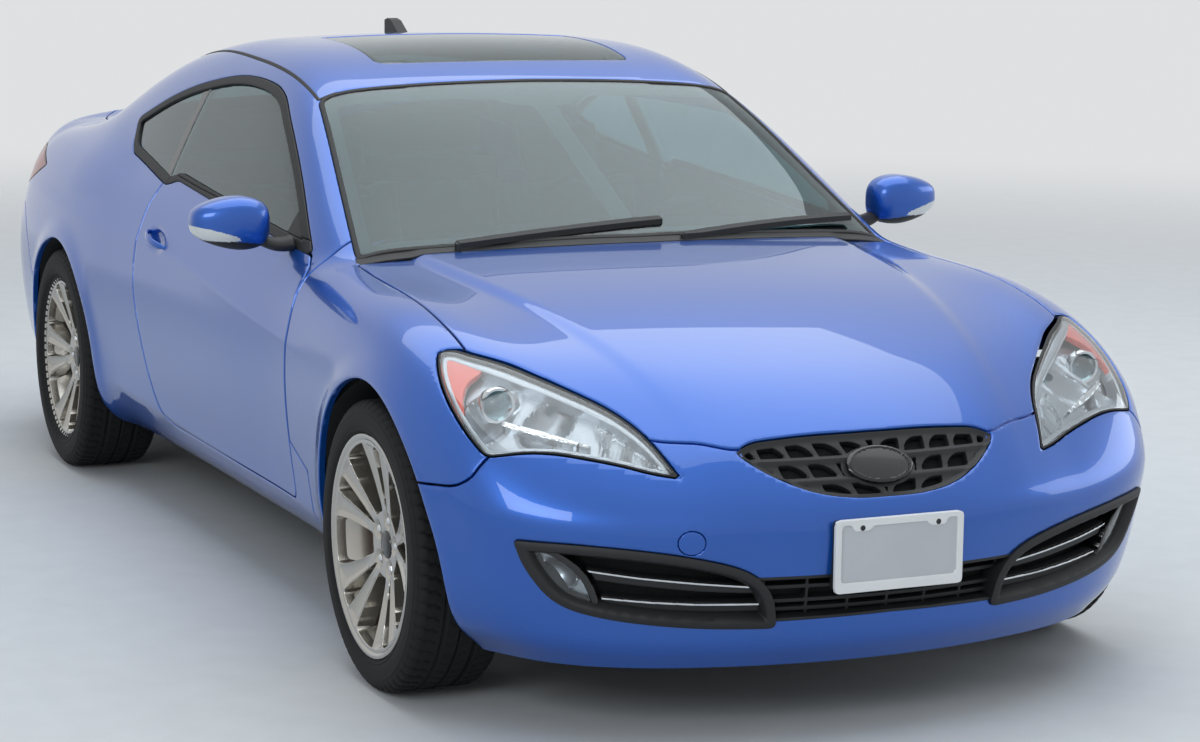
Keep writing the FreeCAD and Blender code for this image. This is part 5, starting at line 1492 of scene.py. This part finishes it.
def flat_sheet(outline, x, ahead, rules, deep, roll=.0015, lift=0.0):
    """A sheet in the plane x, facing ahead (1 or -1), cut by rules in the front view and walled back by
    deep."""
    lo, hi = outline.min(0) - .004, outline.max(0) + .004
    place = lambda a, b: np.stack([np.full_like(a, x * 1.0), a, b], 1)
    facing = lambda p: np.tile((float(ahead), 0.0, 0.0), (len(p), 1))
    grid = comb(span(lo[0], hi[0], .009), span(lo[1], hi[1], .009))
    return trimmed(grid, place, facing, rules, roll=roll, lift=lift,
                   back=lambda p: np.tile((-ahead * deep, 0, 0), (len(p), 1)))


def FRONT(p):
    return p[:, (1, 2)]


SCREW = lathe([(-.004, .0062), (.000, .0062), (.0012, .0052), (.0012, .0022), (.0002, .0018),
               (.0002, .0002)], 24, closed=False)
for name, x, ahead, low, high in (("front", 2.3135, 1, .334, .492), ("rear", -2.3135, -1, .536, .692)):
    outer = rounded([(-.155, low), (.155, low), (.155, high), (-.155, high)], .012)
    inner = rounded([(-.141, low + .022), (.141, low + .022), (.141, high - .011),
                     (.116, high - .012, .004), (.112, high - .026, .008), (.072, high - .026, .008),
                     (.068, high - .016, .004), (-.068, high - .016, .004), (-.072, high - .026, .008),
                     (-.112, high - .026, .008), (-.116, high - .012, .004), (-.141, high - .011)], .007)
    surround = flat_sheet(outer, x, ahead, [within(outer, FRONT), outside(inner, FRONT)], .009)
    blank = flat_sheet(outer, x - ahead * .0035, ahead, [within(outer, FRONT, -.005)], .0015,
                       lift=lambda p: -.0012 * (beyond(FRONT(p), outer) > -.024))
    points, faces = aimed(SCREW, (0, 0, 0))
    screws = [(points * (ahead, 1, 1) + (x, y, high - .019), faces[:, ::ahead]) for y in (-.092, .092)]
    piece("plate_surround_" + name, surround, plate_surround, "car_body", "number_plates", "plate")
    piece("plate_blank_" + name, blank, plate_enamel, "car_body", "number_plates", "plate")
    piece("plate_screws_" + name, together(*screws), gloss_trim, "car_body", "number_plates", "plate")
    bracket = flat_sheet(outer, x - ahead * .0092, ahead, [within(outer, FRONT, -.004)], .022)
    piece("plate_bracket_" + name, bracket, black_plastic, "car_body", "number_plates", "plate")

# %% [markdown]
# ## Tail lamps
# A red shell lies flush with the quarter panel. Behind it the bowls are one bright sheet with a waved
# depth, so that light comes back in cells as from real bowls. A flat red patch would look painted on.

# %% Tail lamps
tail_u, tail_v = span(.20, 1.25, .012), span(.790, .965, .007)
tail_rules = [within(TAIL_LAMP_SIDE, SIDE, -GAP), outside(LID_PLAN, PLAN, GAP)]
tail_lens = panel(whole_body, rear_rays, tail_u, tail_v, tail_rules, roll=.003, lift=-.0005,
                  back=thick(whole_body, .003))
tail_bowls = panel(whole_body, rear_rays, tail_u, tail_v, tail_rules, roll=0, flange=0,
                   lift=lambda p: -.030 - .006 * np.cos(2 * np.pi * p[:, 1] / .045)
                   * np.cos(2 * np.pi * p[:, 2] / .045))
piece("tail_lamp_lenses", both_sides(tail_lens), red_lens, "car_body", "tail_lamps", "tail_lens")
piece("tail_lamp_bowls", both_sides(tail_bowls), reflector, "car_body", "tail_lamps", "tail_lens")

# %% [markdown]
# ## Seats
# Foam under leather. Each seat's CAD solid is skinned evenly, blown up a little as cloth under pressure,
# held to 25 mm, and then its sewn channels are pressed in by a formula, because skinning would wipe them
# out.

# %% Upholstery
VOXEL = .0155       # grid of the even skin
SWELL = .025        # most that the pressure may move a point
PRESSURE, SIM_FRAMES = 4.0, 20
# Cowhide leather, dyed and embossed: fine pebble grain, soft sheen.
leather = grained(finish("leather_dyed", "#26272A", .52, Sheen_Weight=.15), 1.8, .12)


def evaluated(thing):
    return bpy.data.meshes.new_from_object(thing.evaluated_get(bpy.context.evaluated_depsgraph_get()))


def coordinates(data):
    flat = np.empty(len(data.vertices) * 3)
    data.vertices.foreach_get("co", flat)
    return flat.reshape(-1, 3)


def upholstered(name, mesh, node, channels):
    """A padded piece from a closed solid. channels gives how far each point is pressed in, in metres."""
    made = piece(name, mesh, leather, "car_body", node, "seat")
    skin = made.modifiers.new("even_skin", "REMESH")
    skin.mode, skin.voxel_size = "VOXEL", VOXEL
    made.data, before = evaluated(made), made.data
    made.modifiers.clear()
    start = coordinates(made.data)
    padding = made.modifiers.new("padding", "CLOTH")
    padding.settings.use_pressure = True
    padding.settings.uniform_pressure_force = PRESSURE
    padding.settings.effector_weights.gravity = 0
    for frame_number in range(1, SIM_FRAMES + 1):
        bpy.context.scene.frame_set(frame_number)
    blown = coordinates(evaluated(made)) - start
    made.modifiers.clear()
    bpy.context.scene.frame_set(1)
    far = np.linalg.norm(blown, axis=1)
    start = start + blown * np.minimum(1, SWELL / np.clip(far, 1e-9, None))[:, None]
    normal = np.empty(len(start) * 3)
    made.data.vertices.foreach_get("normal", normal)
    start = start - normal.reshape(-1, 3) * channels(start)[:, None]
    made.data.vertices.foreach_set("co", start.astype(np.float32).ravel())
    made.data.shade_smooth()
    made.data.update()
    smooth = made.modifiers.new("one_subdivision", "SUBSURF")
    smooth.levels = smooth.render_levels = 1
    print("%-26s %7d points skinned" % (name, len(start)))
    return made


def groove(value, wide=.006):
    return np.exp(-(value / wide) ** 2)


def front_channels(p):
    """Two long seams either side of the middle, and cross channels every 85 mm between them."""
    y = np.abs(np.abs(p[:, 1]) - .37)
    along = p[:, 0] + 1.1 * p[:, 2]
    between = 1 - ease(y, .118, .126)
    return .006 * groove(y - .13) + .005 * groove((along + .0425) % .085 - .0425) * between


def rear_channels(p):
    y = np.abs(np.abs(p[:, 1]) - .24)
    along = p[:, 0] + 1.1 * p[:, 2]
    return .006 * groove(y - .15) + .004 * groove((along + .05) % .10 - .05) * (1 - ease(y, .135, .145))


seats = cad_mesh("front_seats")
right_half = seats[0][:, 1][seats[1]].max(1) < 0
right_seat = tidy(seats[0], seats[1][right_half])
left_seat = mirrored(*right_seat)
upholstered("front_seat_right", right_seat, "front_seats", front_channels)
upholstered("front_seat_left", left_seat, "front_seats", front_channels)
upholstered("rear_bench", cad_mesh("rear_seat"), "rear_seat", rear_channels)

# %% [markdown]
# ## What stays as the CAD made it
# Many solids already have their true shape, such as calipers, arms, pipes and the dashboard. They keep it
# and get the finish of the real part in their material slots.

# %% Finishes for the remaining solids
SLOT_FINISH = {
    "body_paint": blue_enamel, "body_plastic": black_plastic, "underbody": underseal_and_painted_shade,
    "window_glass": pane_glass, "lamp_lens": clear_lens, "tail_lens": red_lens, "black_trim": black_plastic,
    "plate": plate_enamel, "tyre": rubber, "wheel": alloy, "seat": leather,
    # Caliper: aluminium, cast and baked in red enamel.
    "caliper": grained(finish("aluminium_cast_enamelled", "#A81E22", .38, Coat_Weight=.5), 3.0, .08),
    # Suspension arms and knuckles: cast iron under black e-coat.
    "iron": grained(finish("cast_iron_coated", "#2A2A2B", .55, .5), 2.5, .25),
    # Engine block: aluminium, sand cast: grey and pitted.
    "engine": grained(finish("aluminium_sand_cast", "#8B8D8F", .5, .8), 1.5, .2),
    # Exhaust: stainless tube, drawn and lightly heat-tinted.
    "steel_pipe": grained(finish("stainless_drawn", "#B9B5AC", .28, 1.0), 5.0, .05, vary=.1, colour_vary=.12),
    "cabin_plastic": cabin_trim}
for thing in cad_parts.values():
    for place in thing.material_slots:
        key = place.material.name.split(".")[0]
        if key in SLOT_FINISH:
            place.material = SLOT_FINISH[key]

# %% [markdown]
# ## Stage and light
# A plain pale floor and backdrop, and large soft lamps at a plain level, so that each colour renders about
# as written.

# %% Floor, world and lamps
FLOOR_HALF = 30.0
FADE_START, FADE_END = 4.5, 13.0
# Painted studio floor: pale and matt. Far from the car it gives way to the backdrop, so no horizon shows.
floor_finish = grained(finish("studio_floor_painted", "#DCDDDD", .8), 40.0, .05)
place = add(floor_finish, "ShaderNodeTexCoord")
away = add(floor_finish, "ShaderNodeVectorMath", [("operation", "LENGTH")], _0=place.outputs["Object"])
fade = add(floor_finish, "ShaderNodeMapRange", [("From Min", FADE_START), ("From Max", FADE_END),
                                                ("interpolation_type", "SMOOTHSTEP")],
           Value=away.outputs["Value"])
gone = add(floor_finish, "ShaderNodeBsdfTransparent")
both = add(floor_finish, "ShaderNodeMixShader", _0=fade.outputs["Result"],
           _1=floor_finish.node_tree.nodes["Principled BSDF"].outputs[0], _2=gone.outputs[0])
floor_finish.node_tree.links.new(both.outputs[0],
                                 floor_finish.node_tree.nodes["Material Output"].inputs["Surface"])
floor_rows, floor_faces = comb(span(-FLOOR_HALF, FLOOR_HALF, 5.0), span(-FLOOR_HALF, FLOOR_HALF, 5.0))
floor_data = bpy.data.meshes.new("floor")
floor_data.from_pydata(np.column_stack([floor_rows, 0 * floor_rows[:, 0]]).tolist(), [],
                       floor_faces.tolist())
floor_data.materials.append(floor_finish)
floor = bpy.data.objects.new("floor", floor_data)
bpy.context.scene.collection.objects.link(floor)

# The world lights softly, and where it is seen directly, in a gloss or through glass, it is the pale
# backdrop.
world = bpy.data.worlds.new("studio")
world.use_nodes = True
bpy.context.scene.world = world
background = world.node_tree.nodes["Background"]
background.inputs["Color"].default_value = linear("#DCE4EE")
background.inputs["Strength"].default_value = .50
backdrop = add(world, "ShaderNodeBackground", [("Color", linear("#E7E9EB")), ("Strength", .92)])
seen = add(world, "ShaderNodeLightPath")
sharp = add(world, "ShaderNodeMath", [("operation", "ADD")], _0=seen.outputs["Is Glossy Ray"],
            _1=seen.outputs["Is Transmission Ray"])
direct = add(world, "ShaderNodeMath", [("operation", "ADD"), ("use_clamp", True)],
             _0=seen.outputs["Is Camera Ray"], _1=sharp.outputs[0])
which_light = add(world, "ShaderNodeMixShader", _0=direct.outputs[0], _1=background.outputs[0],
                  _2=backdrop.outputs[0])
world.node_tree.links.new(which_light.outputs[0], world.node_tree.nodes["World Output"].inputs["Surface"])


SOFTBOX_TINT = (.90, .96, 1.0)


def softbox(name, place, aim, size, watts):
    """A large rectangular area lamp that looks at aim."""
    data = bpy.data.lights.new(name, "AREA")
    data.shape = "RECTANGLE"
    data.size, data.size_y = size
    data.energy = watts
    data.color = SOFTBOX_TINT
    lamp = bpy.data.objects.new(name, data)
    bpy.context.scene.collection.objects.link(lamp)
    lamp.location = place
    lamp.rotation_mode = "QUATERNION"
    lamp.rotation_quaternion = (Vector(aim) - Vector(place)).to_track_quat("-Z", "Y")
    return lamp


# Name, place, aim, size in metres and power in watts.
for lamp in (("overhead", (-.8, 1.2, 7.0), (-.8, 1.2, 0), (10, 8.5), 400),
             ("front_right", (7, -6, 4.5), (.5, 0, .6), (4, 3), 170),
             ("left", (2, 8.5, 3.0), (0, 0, .6), (6, 2.5), 90)):
    softbox(*lamp)
bpy.context.scene.view_settings.view_transform = "Standard"
